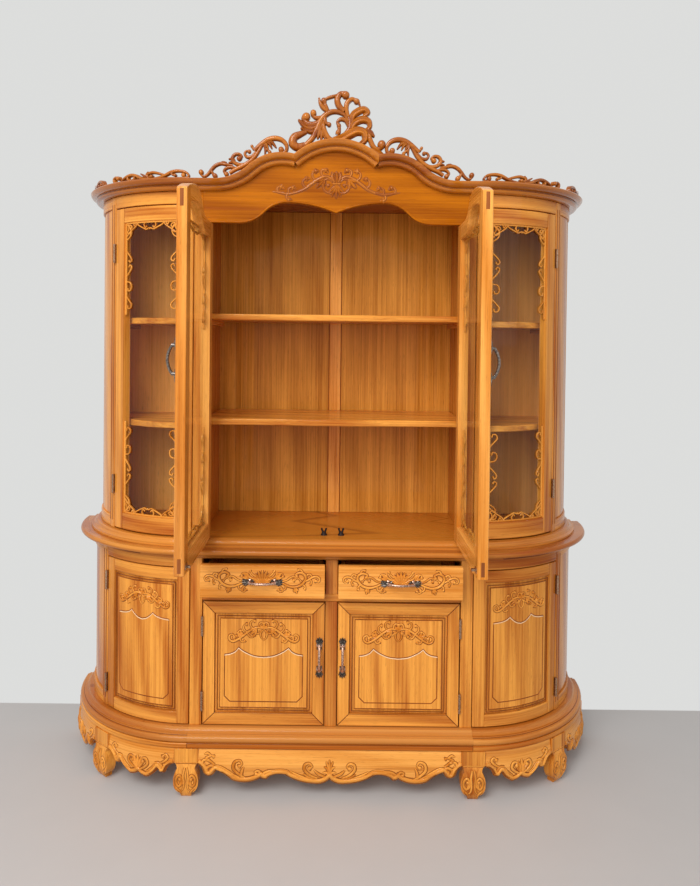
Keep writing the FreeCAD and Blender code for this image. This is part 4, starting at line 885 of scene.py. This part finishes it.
# the garland of a lower door
def garland():
    twig = 0.0022
    branch = stroke(((4, 0), (22, 2), (38, -6), (54, -18), (70, -30), (86, -38), (97, -33), (98, -22),
                     (89, -18), (84, -26)), 0.0028, tip=0.6, ball=0.0034)
    half = [branch] + sprouts(
        branch, twig, (0.06, 66, 0.026, 170, 0.0034), (0.16, 70, 0.034, 170, 0.0036),
        (0.28, 64, 0.034, 160, 0.0036), (0.40, 66, 0.028, 160, 0.0032), (0.52, 70, 0.020, 150, 0.003),
        (0.14, -64, 0.030, -160, 0.0034), (0.28, -60, 0.030, -160, 0.0034), (0.42, -60, 0.022, -150, 0.003))
    leaves = fan(0.020, -0.001, -44, 0.024, 60, 3, 0.0036) + fan(0.058, -0.021, 24, 0.020, 60, 3, 0.0032)
    drop = [stroke(((way * 2, -4), (way * 9, -14), (way * 7, -26), (0, -34)), twig) for way in (-1, 1)]
    bud = fan(0, -0.002, 90, 0.017, 90, 3, 0.0038)
    return mirrored(half) + drop, mirrored(leaves) + bud


# the lower doors: lines on the panel, cusps of the swag, drop and size of the garland
lowerDoors = {
    "lower_door": {"half": 0.120, "foot": 0.034, "swag": 0.180, "ring": 0.142, "cusp": 0.64, "rise": 22,
                   "drop": 0.046, "size": 1.08},
    "lower_side_door": {"half": 0.094, "foot": 0.036, "swag": 0.284, "ring": 0.114, "cusp": 0.42, "rise": 16,
                        "drop": 0.054, "size": 0.95},
}
panelLines = {
    "line": 0.0015, "ringLine": 0.0012, "cut": 0.017, "gap": 0.008, "bead": 0.0016, "beadDrop": 0.0030,
}
sideDoorFace = {"sunk": 0.003, "middle": 23.2}


# the swag with its cusps
def swagLines(plan, swag, line):
    level = swag * 1000
    reach = plan["half"] * 1000
    peak = reach * plan["cusp"]
    rise = plan["rise"]
    bow = stroke(((0, level - 7), (peak * 0.4, level - 3), (peak * 0.78, level + rise * 0.45),
                  (peak, level + rise)), line, **evenInk)
    arm = stroke(((peak, level + rise), (peak + (reach - peak) * 0.25, level + rise * 0.45),
                  (peak + (reach - peak) * 0.6, level + rise * 0.13), (reach, level)), line, **evenInk)
    return mirrored([bow, arm])


# the swag, the chamfered sides below it and the rings round the panel
def doorLines(plan, low, high):
    line = panelLines["line"]
    cut = panelLines["cut"]
    wide = plan["half"]
    foot = low + plan["foot"]
    swag = low + plan["swag"]
    half = [ruled(((wide, swag), (wide, foot + cut), (wide - cut, foot), (0, foot)), line)]
    for inset in (0, panelLines["gap"]):
        across = plan["ring"] - inset
        bottom = low + panelLines["gap"] + inset
        top = high - panelLines["gap"] - inset
        half.append(ruled(((0, bottom), (across, bottom), (across, top), (0, top)), panelLines["ringLine"]))
    return mirrored(half) + swagLines(plan, swag, line)


def lowerDoorRelief(name, kind, side):
    plan = lowerDoors[kind]
    door = "%s_%s" % (name, kind)
    low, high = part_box(door + "_panel")
    if kind == "lower_door":
        middle = (low.x + high.x) / 2
        face = onFront(low.y)
    else:
        middle = 0
        face = onRound(lowerRadius - sideDoorFace["sunk"], sideDoorFace["middle"], side)
    # the bead under each swag line takes the pale wood of a painted highlight
    bead = swagLines(plan, low.z + plan["swag"] - panelLines["beadDrop"], panelLines["bead"])
    carve(door + "_lines", shifted(doorLines(plan, low.z, high.z), middle, 0), face, door, material=lineWood)
    carve(door + "_bead", shifted(bead, middle, 0), face, door, material=paintedHighlightWood)
    vine, leaves = (shifted(part, middle, high.z - plan["drop"], plan["size"]) for part in garland())
    carve(door + "_carving", vine, face, door, leaves=leaves, **relief)


for sideName, sideSign in sides.items():
    drawerRelief(sideName)
    for doorKind in lowerDoors:
        lowerDoorRelief(sideName, doorKind, sideSign)
print("drawers and doors carved")


# the seams beside the muntin of the back
muntinSeam = {"across": 0.0212, "line": 0.0016, "face": 0.392, "margin": 0.002}


def muntinLines():
    low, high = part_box("upper_back")
    across = muntinSeam["across"]
    margin = muntinSeam["margin"]
    half = [ruled(((across, low.z + margin), (across, high.z - margin)), muntinSeam["line"])]
    carve("upper_back_seams", mirrored(half), onFront(muntinSeam["face"]), "cabinet", material=lineWood)


muntinLines()


# flutes of the posts, the ends of the header and the bead along its lower edge
flutePlan = {"turns": (47.6, 49.8), "line": 0.0017, "margin": 0.025}
headerBead = {"radius": 0.003, "half": 0.412, "steps": 70, "rayFrom": 1.0}
headerEnds = {"across": (0.414, 0.424), "foot": 0.004, "head": 0.002}
headerTree = nodeTree("header_board")


def postFlutes(name, side):
    for tier, radius in (("lower", lowerRadius), ("upper", upperRadius)):
        low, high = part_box(tier + "_side_panels")
        margin = flutePlan["margin"]
        lines = []
        for turn in flutePlan["turns"]:
            u = radius * math.radians(turn - flutePlan["turns"][0])
            lines.append(ruled(((u, low.z + margin), (u, high.z - margin)), flutePlan["line"]))
        place = onRound(radius, flutePlan["turns"][0], side)
        carve("%s_%s_post_flutes" % (name, tier), lines, place, "cabinet", material=lineWood)


def headerLines():
    low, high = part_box("header_board")
    bead = headerBead["radius"]
    edge = []
    for index in range(headerBead["steps"] * 2 + 1):
        x = (index / headerBead["steps"] - 1) * headerBead["half"]
        below = Vector((x, (low.y + high.y) / 2, headerBead["rayFrom"]))
        edge.append(Vector((x, headerTree.ray_cast(below, Vector((0, 0, 1)))[0].z + bead)))
    foot = low.z + headerEnds["foot"]
    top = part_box("cornice_moulding")[0].z - headerEnds["head"]
    ends = [ruled(((x, foot), (x, top)), flutePlan["line"]) for x in headerEnds["across"]]
    carve("header_lines", [evenLine(edge, bead)], onFront(low.y), "cabinet", material=headerWood)
    carve("header_end_lines", mirrored(ends), onFront(low.y), "cabinet", material=lineWood)


headerLines()
for sideName, sideSign in sides.items():
    postFlutes(sideName, sideSign)
print("posts fluted")


# crest: strokes in millimetres from the top of the crown, each with its half width and end ball
crestPlan = {"back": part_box("crest")[1].y, "depth": 0.014, "stems": 1.4, "leaves": 1.65}
crestStems = {
    "leftStem": (((-118, -19), (-94, -8), (-74, 13), (-62, 40), (-47, 71), (-24, 90), (0, 93), (22, 83),
                  (36, 62)), 6.5, 0),
    "leftFoot": (((-98, -11), (-120, -17), (-136, -5), (-131, 13), (-115, 22), (-97, 29)), 10, 0),
    "leftBall": (((-47, 76), (-62, 73), (-72, 78), (-73, 88)), 4.5, 10),
    "leftCurl": (((-48, 65), (-70, 53), (-89, 55), (-101, 67), (-95, 76)), 7, 13),
    "bud": (((-37, 77), (-36, 60), (-24, 53)), 5, 7),
    "palmStem": (((-43, 55), (-36, 29), (-22, 10), (0, 5)), 6, 0),
    "leftTop": (((-29, 94), (-43, 104), (-52, 118), (-56, 132)), 5, 0),
    "leftTopBall": (((-28, 96), (-35, 108), (-41, 126)), 5, 9),
    "link": (((-37, 131), (-22, 137), (-5, 142), (5, 148)), 3.5, 0),
    "topScroll": (((22, 94), (6, 110), (0, 131), (11, 148), (26, 144)), 7.5, 12),
    "topLeaf": (((34, 77), (28, 101), (31, 121), (46, 132), (60, 125)), 6, 9),
    "topHook": (((53, 128), (64, 124), (71, 110)), 3, 0),
    "heart": (((36, 48), (26, 66), (11, 70), (1, 60), (6, 50)), 4.5, 7),
    "seeds": (((0, 22), (6, 34), (7, 41)), 6, 6),
    "rightStem": (((0, 11), (24, 22), (38, 40), (40, 60), (34, 82)), 6.5, 0),
    "rightFoot": (((98, 31), (103, 7), (116, -17), (132, -19), (138, -6)), 6, 13),
}
crestLeaves = {
    "leftSpike": (((-53, 55), (-79, 42), (-101, 50), (-116, 64)), 6.5, 0),
    "leftBarb": (((-58, 43), (-77, 32), (-94, 35), (-109, 40)), 5, 0),
    "palmLeft": (((-46, 62), (-53, 36), (-59, 12)), 5, 0),
    "palmMiddle": (((-44, 62), (-47, 34), (-48, 7)), 5, 0),
    "palmRight": (((-43, 62), (-41, 34), (-36, 10)), 5, 0),
    "upperRight": (((44, 60), (49, 82), (65, 95), (83, 101), (95, 92), (86, 83)), 7.5, 8),
    "middleRight": (((42, 41), (56, 60), (77, 70), (96, 65), (101, 50), (92, 37)), 7.5, 8),
    "lowerRight": (((-10, 5), (17, 12), (38, 24), (62, 35), (84, 29), (86, 7), (72, -6)), 9.5, 0),
    "rightTip": (((84, 31), (101, 31), (113, 20)), 6, 0),
    "footLeaf": (((108, -19), (127, -31), (145, -42)), 7, 0),
}


def planned(plan, bolder=1.0):
    return [stroke(places, width * bolder * 0.001, ball=ball * 0.001)
            for places, width, ball in plan.values()]


corniceTree = nodeTree("cornice_moulding")


# height of the cornice top at a place in plan
def corniceTop(x, y):
    return corniceTree.ray_cast(Vector((x, y, 3)), Vector((0, 0, -1)))[0].z


def crestCarving():
    crown = corniceTop(0, upperFront)
    depth = crestPlan["depth"]
    stems = shifted(planned(crestStems, crestPlan["stems"]), 0, crown)
    leaves = shifted(planned(crestLeaves, crestPlan["leaves"]), 0, crown)
    carve("crest_carving", stems, onFront(crestPlan["back"] - depth), "cabinet", back=depth,
          replaced=("crest",), leaves=leaves, material=amberWood)


crestCarving()
print("crest carved")


# galleries: strokes in millimetres, each with its half width and end ball
galleryPlan = {"depth": 0.012, "radius": upperRadius + 0.024, "stems": 1.1, "leaves": 1.2}
slopeRail = {"start": 0.16, "step": 0.004, "steps": 66, "up": 0.001, "line": 0.004}
roundRail = {"start": 0.006, "short": 0.008, "steps": 30, "up": 0.0015, "line": 0.0035}
slopeStems = {
    "lowBall": (((319, 1921), (338, 1924), (357, 1927), (374, 1920), (386, 1907), (396, 1894), (407, 1887),
                 (415, 1890), (417, 1900)), 5, 8),
    "lowDrop": (((385, 1905), (381, 1896), (374, 1889)), 4.5, 8),
    "secondDrop": (((305, 1911), (322, 1916), (338, 1914), (347, 1903), (339, 1895)), 4.5, 7.5),
    "middle": (((265, 1931), (294, 1924), (314, 1930), (321, 1943), (314, 1955), (301, 1957), (292, 1950),
                (300, 1943)), 5.5, 8),
    "curl": (((248, 1965), (261, 1950), (276, 1948), (283, 1957), (278, 1966), (269, 1965)), 4.5, 6),
    "budStem": (((246, 1974), (256, 1973), (261, 1981)), 4, 5),
    "stem": (((330, 1898), (311, 1910), (288, 1921), (265, 1936), (246, 1958), (231, 1983), (221, 1997)),
             6.5, 0),
    "hook": (((254, 1968), (235, 1986), (212, 2002), (189, 2007), (168, 2001), (155, 1986), (155, 1970),
              (165, 1963), (171, 1972)), 7.5, 9),
    "prop": (((225, 1992), (220, 1972), (221, 1956)), 4, 0),
    "propBall": (((221, 1974), (211, 1969), (206, 1963)), 4, 6),
}
slopeLeaves = {
    "far": (((219, 1999), (200, 1994), (187, 1979)), 5, 0),
    "middle": (((222, 1997), (208, 1990), (200, 1976)), 4.5, 0),
    "near": (((224, 1995), (216, 1984), (211, 1973)), 4.5, 0),
    "spikeHigh": (((313, 1936), (321, 1942), (331, 1941)), 4, 0),
    "spikeLow": (((307, 1927), (319, 1932), (331, 1930)), 4, 0),
    "topSpike": (((360, 1926), (350, 1931), (340, 1931)), 3.5, 0),
}
roundStems = {
    "hook": (((113, 1), (84, 11), (62, 21), (40, 24), (18, 20), (8, 10), (13, 3), (22, 5), (24, 11)), 5, 7),
    "leafCurl": (((62, 20), (60, 13), (51, 11)), 3.5, 5),
    "stem": (((190, 16), (176, 10), (158, 4), (130, 1), (100, 6), (80, 14)), 5, 0),
    "curl": (((84, 12), (104, 18), (126, 22), (143, 17), (140, 8), (130, 10)), 4.5, 5.5),
    "arch": (((166, 3), (184, 15), (208, 20), (236, 14), (257, 1)), 5, 0),
    "dropOut": (((224, 16), (222, 7), (211, 2)), 4, 5.5),
    "dropIn": (((194, 15), (196, 6), (201, 3)), 3.5, 4.5),
    "end": (((250, 2), (272, 1), (289, 6), (292, 16), (280, 21), (270, 16)), 5, 7),
}
roundLeaves = {
    "low": (((132, 1), (153, 11), (168, 20)), 4.5, 0),
    "high": (((136, 2), (147, 15), (142, 24)), 4, 0),
    "back": (((150, 4), (168, 9), (182, 7)), 4, 0),
}
roundRuns = {1: tuple(roundStems), 52: ("hook", "leafCurl", "stem", "curl")}


def slopedGallery(name, side):
    depth = galleryPlan["depth"]
    places = [slopeRail["start"] + slopeRail["step"] * index for index in range(slopeRail["steps"])]
    foot = [Vector((x, corniceTop(x, upperFront) + slopeRail["up"])) for x in places]
    stems = planned(slopeStems, galleryPlan["stems"]) + [evenLine(foot, slopeRail["line"])]
    face = onFront(crestPlan["back"] - depth, side)
    return carve(name + "_sloped_gallery", stems, face, "cabinet", back=depth,
                 leaves=planned(slopeLeaves, galleryPlan["leaves"]), material=amberWood)


# the second, shorter run keeps only the strokes of its inner half
def roundedGallery(name, side, start, kept):
    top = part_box("galleries")[0].z
    stems = planned({key: roundStems[key] for key in kept})
    reach = max(point[0] for item in stems for point in item["points"])
    steps = roundRail["steps"]
    places = [(roundRail["start"] + (reach - roundRail["short"]) * index / steps, roundRail["up"])
              for index in range(steps + 1)]
    rail = ruled(places, roundRail["line"])
    face = onRound(galleryPlan["radius"], start, side)
    carve("%s_rounded_gallery_%d" % (name, start), shifted(stems + [rail], 0, top), face, "cabinet",
          back=galleryPlan["depth"], leaves=shifted(planned(roundLeaves), 0, top), material=amberWood)


for sideName, sideSign in sides.items():
    sloped = slopedGallery(sideName, sideSign)
    for firstTurn, keptStems in roundRuns.items():
        roundedGallery(sideName, sideSign, firstTurn, keptStems)
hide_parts("galleries")
print("galleries carved")


# fretwork on the glass: runs along an edge, given as distance along and distance in
sideFret = (
    ((4, 6), (16, 20), (30, 25), (44, 20), (56, 3)),
    ((28, 25), (36, 15), (30, 8), (24, 13)),
    ((56, 3), (70, 2), (88, 3), (104, 18), (112, 25), (121, 27), (125, 20), (119, 15)),
    ((172, 3), (156, 18), (148, 25), (139, 27), (134, 20), (141, 15)),
    ((172, 3), (186, 4), (189, 20), (200, 27), (213, 24), (216, 13), (208, 10)),
    ((216, 3), (232, 4), (246, 16), (258, 27), (270, 24), (272, 13), (263, 10)),
)
cornerFret = (
    ((2, 2), (14, 14), (26, 26)),
    ((26, 26), (34, 14), (46, 3)),
    ((14, 14), (25, 12), (28, 4), (20, 4)),
)


def topFret(half):
    middle = half * 1000
    corner = cornerFret[0][-1][0]
    peak = corner + (middle - corner) * 0.34
    cup = corner + (middle - corner) * 0.76
    return (
        ((corner, corner), (peak - 7, 14), (peak, 5)),
        ((14, 8), (24, 9), (28, 17), (22, 20)),
        ((peak, 5), (peak + 8, 12), (cup - 3, 22), (cup + 5, 25), (middle - 3, 21), (middle, 24)),
        ((cup, 2), (cup - 4, 11), (cup + 2, 20), (cup + 7, 15)),
        ((peak - 6, 3), (peak - 12, 12), (peak - 16, 5)),
    )


# under: painted shade on the backs of the fret bars, darker for the side doors
fretPlan = {
    "bar": 0.0020, "rail": 0.003, "inset": 0.002, "length": 0.29, "out": 0.004, "back": 0.0035, "arch": 0.05,
    "under": {"side_glass_door": 0.7, "glass_door": 0.2},
}


def fretStrokes(half, low, high):
    rail = fretPlan["rail"]
    inset = fretPlan["inset"]
    strokes = []
    for edge, way in ((low, 1), (high, -1)):
        runs = [[(depth, along) for along, depth in places] for places in sideFret + cornerFret]
        for places in runs + list(topFret(half)):
            spots = [(half * 1000 - across, edge * 1000 + way * up) for across, up in places]
            strokes.append(stroke(spots, fretPlan["bar"], root=1, tip=0.9, swell=0, samples=4))
        near = edge + way * inset
        strokes.append(ruled(((half - inset, near), (half - inset, edge + way * fretPlan["length"])), rail))
        strokes.append(ruled(((0, near), (half, near)), rail))
    return mirrored(strokes)


def fretCarving(name, kind, strokes, place):
    node = "%s_%s_fret" % (name, kind)
    carve(node + "_carving", strokes, place, "%s_%s" % (name, kind), back=fretPlan["back"], replaced=(node,),
          profile="fret", under=fretPlan["under"][kind])


def sideDoorFret(name, side):
    node = name + "_side_glass_door_fret"
    low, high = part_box(node)
    turns = [roundPlace(vert.co) for vert in nodes[node].data.vertices]
    inner = min(turn.y for turn in turns)
    first = min(abs(turn.x) for turn in turns)
    last = max(abs(turn.x) for turn in turns)
    half = (last - first) / 2 * inner
    place = onRound(inner + fretPlan["out"], math.degrees(first + last) / 2, side)
    fretCarving(name, "side_glass_door", fretStrokes(half, low.z, high.z), place)


def glassDoorFret(name, side):
    low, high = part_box(name + "_glass_door_fret")
    half = (high.y - low.y) / 2
    inner = min(abs(low.x), abs(high.x))
    middle = (low.y + high.y) / 2
    strokes = shifted(fretStrokes(half, low.z, high.z - fretPlan["arch"]), middle, 0)
    fretCarving(name, "glass_door", strokes, onOpenDoor(inner + fretPlan["out"], side))


for sideName, sideSign in sides.items():
    sideDoorFret(sideName, sideSign)
    glassDoorFret(sideName, sideSign)
print("fretwork made")


# raised border, palmette and curls of the aprons
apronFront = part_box("aprons")[0].y
apronRadius = centreY - apronFront
apronRays = {"ahead": 0.1, "reach": 0.13, "sunk": 0.004, "below": 0.1, "behind": 0.01, "highest": 0.14}
apronBorder = {
    "step": 0.003, "up": 0.0045, "line": 0.0056, "bentLine": 0.0052, "half": halfFlat - 0.036, "end": 0.001,
}
apronTree = nodeTree("aprons")


# on the swelling face of an apron: the front one when the turn is nought, else a bent one
def onApron(turn, side):
    flat = onRound(apronRadius, turn, side) if turn else onFront(apronFront)

    def place(u, v, w):
        spot = flat(u, v, 0)
        out = flat(u, v, 1) - spot
        hit = apronTree.ray_cast(spot + out * apronRays["ahead"], -out, apronRays["reach"])[0]
        return (hit or flat(u, v, -apronRays["sunk"])) + out * w
    return place


def apronEdge(place, start, stop):
    line = []
    count = int((stop - start) / apronBorder["step"])
    for index in range(count + 1):
        u = start + (stop - start) * index / count
        spot = place(u, -apronRays["below"], -apronRays["behind"])
        hit = apronTree.ray_cast(spot, Vector((0, 0, 1)))[0]
        if hit and hit.z < apronRays["highest"]:
            line.append(Vector((u, hit.z + apronBorder["up"])))
    return line


# carving of the apron: strokes in millimetres from the middle, with half width and end ball
apronStems = {
    "innerCurl": (((37, 60), (58, 69), (75, 86), (74, 102), (61, 106), (53, 97), (61, 91)), 4, 5),
    "shootInner": (((44, 56), (61, 62), (79, 74)), 3.5, 0),
    "shoot": (((66, 58), (92, 68), (118, 82)), 3.5, 0),
    "spiral": (((240, 57), (223, 63), (211, 74), (216, 82), (225, 78), (221, 71)), 4, 5),
    "hook": (((165, 84), (186, 81), (201, 72), (200, 63), (194, 65)), 4, 6),
    "outerCurl": (((253, 56), (274, 70), (290, 87), (288, 106), (273, 113), (265, 103), (273, 96)), 4, 5),
    "shootOuter": (((286, 65), (307, 80), (334, 95), (352, 94)), 3.5, 0),
    "shootLow": (((274, 60), (300, 73), (326, 86)), 3.5, 0),
    "endBall": (((340, 87), (357, 97), (371, 88), (365, 76), (358, 80)), 4, 6),
    "cornerLow": (((373, 92), (384, 101), (381, 113), (366, 113)), 3.5, 4),
    "cornerHigh": (((347, 100), (364, 112), (373, 119), (358, 126), (350, 124)), 3.5, 4),
    "cornerTip": (((358, 125), (369, 133), (379, 130)), 3, 0),
}
apronLeaves = {
    "innerLeaf": (((14, 65), (33, 74), (46, 86)), 4, 0),
    "outerLeaf": (((266, 60), (266, 77), (260, 93)), 4, 0),
    "palmSide": (((1, 78), (8, 92), (16, 97)), 3.5, 0),
    "palmHigh": (((1, 90), (7, 104), (10, 113)), 3, 0),
    "palmLow": (((1, 72), (10, 79), (20, 78)), 3.5, 0),
}
bentStems = {
    "lobeCurl": (((8, 70), (22, 78), (34, 92), (28, 106), (16, 104), (18, 95)), 4, 5),
    "spray": (((30, 66), (46, 78), (58, 94)), 3.5, 0),
    "hook": (((58, 97), (70, 98), (80, 90), (76, 82), (71, 86)), 4, 5.5),
    "cornerCurl": (((76, 98), (90, 106), (100, 118), (92, 126), (84, 119)), 3.5, 4.5),
}
# ground: stain and painted shade round the apron strokes
apronRelief = {"ground": 0.85, "lift": 1.2, "bold": 1.15}
bentAprons = ((5.2, 35.3), (45.7, 76.8))


def frontApron():
    place = onApron(0, 1)
    half = apronBorder["half"] - apronBorder["end"]
    border = evenLine(apronEdge(onFront(apronFront), -half, half), apronBorder["line"])
    tip = [tendril(0, 0.074, 90, 0.044, 0, 0.0042, tip=0.3)]
    carve("front_apron_carving", [border] + mirrored(planned(apronStems)), place, "cabinet",
          leaves=mirrored(planned(apronLeaves)) + tip, **apronRelief)


def roundApron(name, side, start, stop):
    middle = (start + stop) / 2
    half = apronRadius * math.radians(stop - start) / 2
    border = evenLine(apronEdge(onRound(apronRadius, middle, side), -half, half), apronBorder["bentLine"])
    strokes = [border] + mirrored(planned(bentStems))
    carve("%s_apron_carving_%d" % (name, start), strokes, onApron(middle, side), "cabinet",
          leaves=fan(0, 0.072, 90, 0.040, 80, 5, 0.0046), **apronRelief)


frontApron()
for sideName, sideSign in sides.items():
    for firstTurn, lastTurn in bentAprons:
        roundApron(sideName, sideSign, firstTurn, lastTurn)
print("aprons carved")


# volutes laid over each foot, with stain and painted shade round them
footPlan = {"radius": 0.422, "turns": (0, 40.5, 82), "ahead": 0.3, "depth": 0.018, "ground": 0.8}
footTree = nodeTree("feet")


def onFoot(turn, side):
    angle = math.radians(turn)
    out = Vector((side * math.sin(angle), -math.cos(angle), 0))
    across = Vector((side * math.cos(angle), math.sin(angle), 0))
    middle = Vector((side * halfFlat, centreY, 0)) + out * footPlan["radius"]

    def place(u, v, w):
        spot = middle + across * u
        rise = Vector((0, 0, v))
        hit = footTree.ray_cast(spot + out * footPlan["ahead"] + rise, -out)[0]
        return (hit or spot + out * footPlan["depth"] + rise) + out * w
    return place


def footCarving(name, side, turn):
    half = [
        stroke(((19, 36), (11, 44), (11, 60), (19, 70), (28, 61), (28, 45), (20, 36), (15, 46), (17, 57)),
               0.0036, tip=0.6, ball=0.0045),
        stroke(((3, 92), (7, 70), (5, 48), (7, 30), (13, 22)), 0.0034),
        stroke(((30, 103), (15, 104), (0, 104)), 0.002, **evenInk),
        stroke(((26, 30), (17, 20), (13, 8)), 0.0034),
    ]
    carve("%s_foot_carving_%d" % (name, turn), mirrored(half), onFoot(turn, side), "cabinet",
          ground=footPlan["ground"])


for sideName, sideSign in sides.items():
    for footTurn in footPlan["turns"]:
        footCarving(sideName, sideSign, footTurn)
print("feet carved")


# leaf plates under the ends of the bow pulls: reach, spread and count of the lobes on either side of a knob
platePlan = {
    "outer": (0.024, 66, 5), "inner": (0.016, 70, 3), "lobe": 0.0046, "knob": (0.004, 0.0062), "lift": 1.5,
    "proud": 0.001, "sunk": 0.0005,
}


def pullPlates(body, place, u, v, upright):
    end = pullPlan["end"]
    knobLong, knobWide = platePlan["knob"]
    leaves = []
    knobs = []
    for way, turn in ((1, 0), (-1, 180)):
        spotU, spotV = (u, v + way * end) if upright else (u + way * end, v)
        turn += 90 if upright else 0
        leaves += fan(spotU, spotV, turn, *platePlan["outer"], platePlan["lobe"])
        leaves += fan(spotU, spotV, turn + 180, *platePlan["inner"], platePlan["lobe"])
        knobs.append(tendril(spotU, spotV, turn, knobLong, 0, knobWide, steps=4, **evenInk))
    carve(body + "_plates", knobs, place, body, leaves=leaves, material=bronze, slot="bronze",
          lift=platePlan["lift"])


for sideName, sideSign in sides.items():
    drawerLow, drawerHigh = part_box(sideName + "_drawer_front")
    drawerMiddle = (drawerLow + drawerHigh) / 2
    doorSpot = pullPlan["doorPull"]
    glassSpot = pullPlan["glassPull"]
    pullPlates(sideName + "_drawer", onFront(drawerLow.y - platePlan["proud"]), drawerMiddle.x,
               drawerMiddle.z, False)
    pullPlates(sideName + "_lower_door", onFront(lowerFront - platePlan["proud"]), sideSign * doorSpot[0],
               doorSpot[2], True)
    pullPlates(sideName + "_glass_door", onOpenDoor(glassSpot[0] - platePlan["sunk"], sideSign), glassSpot[1],
               glassSpot[2], True)
print("pull plates made")


# end grain of the through tenons on the free edges of the open doors
tenonPlan = {
    "wide": 0.010, "thick": 0.004, "proud": 0.0003, "top": 0.045, "bottom": 0.038, "below": 0.006,
    "above": 0.008, "edge": 0.0006, "rayIn": 0.006, "rayUp": 0.1,
}


def tenonMarks(name):
    low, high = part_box(name + "_glass_door_frame")
    bm = bmesh.new()
    middle = (low.x + high.x) / 2
    above = Vector((middle, low.y + tenonPlan["rayIn"], high.z + tenonPlan["rayUp"]))
    stileTop = nodeTree(name + "_glass_door_frame").ray_cast(above, Vector((0, 0, -1)))[0].z
    top = tenonPlan["top"]
    bottom = tenonPlan["bottom"]
    for centre, tall in ((stileTop - tenonPlan["below"] - top / 2, top),
                         (low.z + tenonPlan["above"] + bottom / 2, bottom)):
        made = bmesh.ops.create_cube(bm, size=1)
        size = Matrix.Diagonal((tenonPlan["wide"], tenonPlan["thick"], tall, 1))
        spot = Matrix.Translation((middle, low.y + tenonPlan["thick"] / 2 - tenonPlan["proud"], centre))
        bmesh.ops.transform(bm, matrix=spot @ size, verts=made["verts"])
    softenEdges(bm, tenonPlan["edge"])
    makePiece(name + "_tenon_marks", bm, name + "_glass_door", endWood)


for sideName in sides:
    tenonMarks(sideName)
print("tenons marked")


# plain pale floor, soft front light and a pale surround
stagePlan = {
    "floor": (0.56, 0.54, 0.525, 1), "wall": (0.72, 0.725, 0.715, 1), "ambient": 0.45,
    "floorPlace": (0, -1.5, -0.0005), "floorHalf": (4, 2.04, 1, 1), "aim": (0, 0.1, 1.0),
    "lights": (("front_light", (-1.6, -3.5, 4.5), 2.6, 137, True),
               ("side_light", (3.2, -3.0, 2.4), 2.2, 8, True),
               ("fill_light", (-0.8, -3.5, 2.4), 2.4, 76, False)),
}


def plainMaterial(name, colour):
    material, wire = newMaterial(name)
    grit = wire.objectPlace().noise(5, 4, 0.6, 0)
    shade = wire.blend(grit, tuple(part * 0.94 for part in colour[:3]) + (1,), colour)
    shader = wire.node("ShaderNodeBsdfPrincipled", {}, {"Base Color": shade, "Roughness": 0.75})
    finishShader(shader)
    return material


def makeStage():
    bm = bmesh.new()
    bmesh.ops.create_grid(bm, x_segments=1, y_segments=1, size=1)
    spread = Matrix.Translation(stagePlan["floorPlace"]) @ Matrix.Diagonal(stagePlan["floorHalf"])
    bmesh.ops.transform(bm, matrix=spread, verts=bm.verts)
    mesh = bpy.data.meshes.new("floor")
    bm.to_mesh(mesh)
    bm.free()
    floor = bpy.data.objects.new("floor", mesh)
    mesh.materials.append(plainMaterial("floor_grey", stagePlan["floor"]))
    scene.collection.objects.link(floor)
    world = bpy.data.worlds.new("surround")
    scene.world = world
    world.use_nodes = True
    world.node_tree.nodes.clear()
    wire = Wire(world.node_tree)
    camera, glossy, through = (wire.node("ShaderNodeLightPath", {}, {}, "Is %s Ray" % kind)
                               for kind in ("Camera", "Glossy", "Transmission"))
    seen = camera + glossy + through
    lit = wire.node("ShaderNodeBackground", {}, {"Color": (1, 1, 1, 1), "Strength": stagePlan["ambient"]})
    shown = wire.node("ShaderNodeBackground", {}, {"Color": stagePlan["wall"], "Strength": 1.0})
    mixed = wire.node("ShaderNodeMixShader", {}, {0: seen, 1: lit, 2: shown})
    finishShader(mixed, "World")
    for name, place, size, power, inMirrors in stagePlan["lights"]:
        data = bpy.data.lights.new(name, "AREA")
        data.size = size
        data.energy = power
        light = bpy.data.objects.new(name, data)
        light.visible_glossy = inMirrors
        aim = (Vector(stagePlan["aim"]) - Vector(place)).to_track_quat("-Z", "Y")
        light.matrix_world = Matrix.Translation(place) @ aim.to_matrix().to_4x4()
        scene.collection.objects.link(light)


makeStage()
for outlineHolder in profileCurves.values():
    outlineData = outlineHolder.data
    bpy.data.objects.remove(outlineHolder)
    bpy.data.curves.remove(outlineData)
print("stage set")
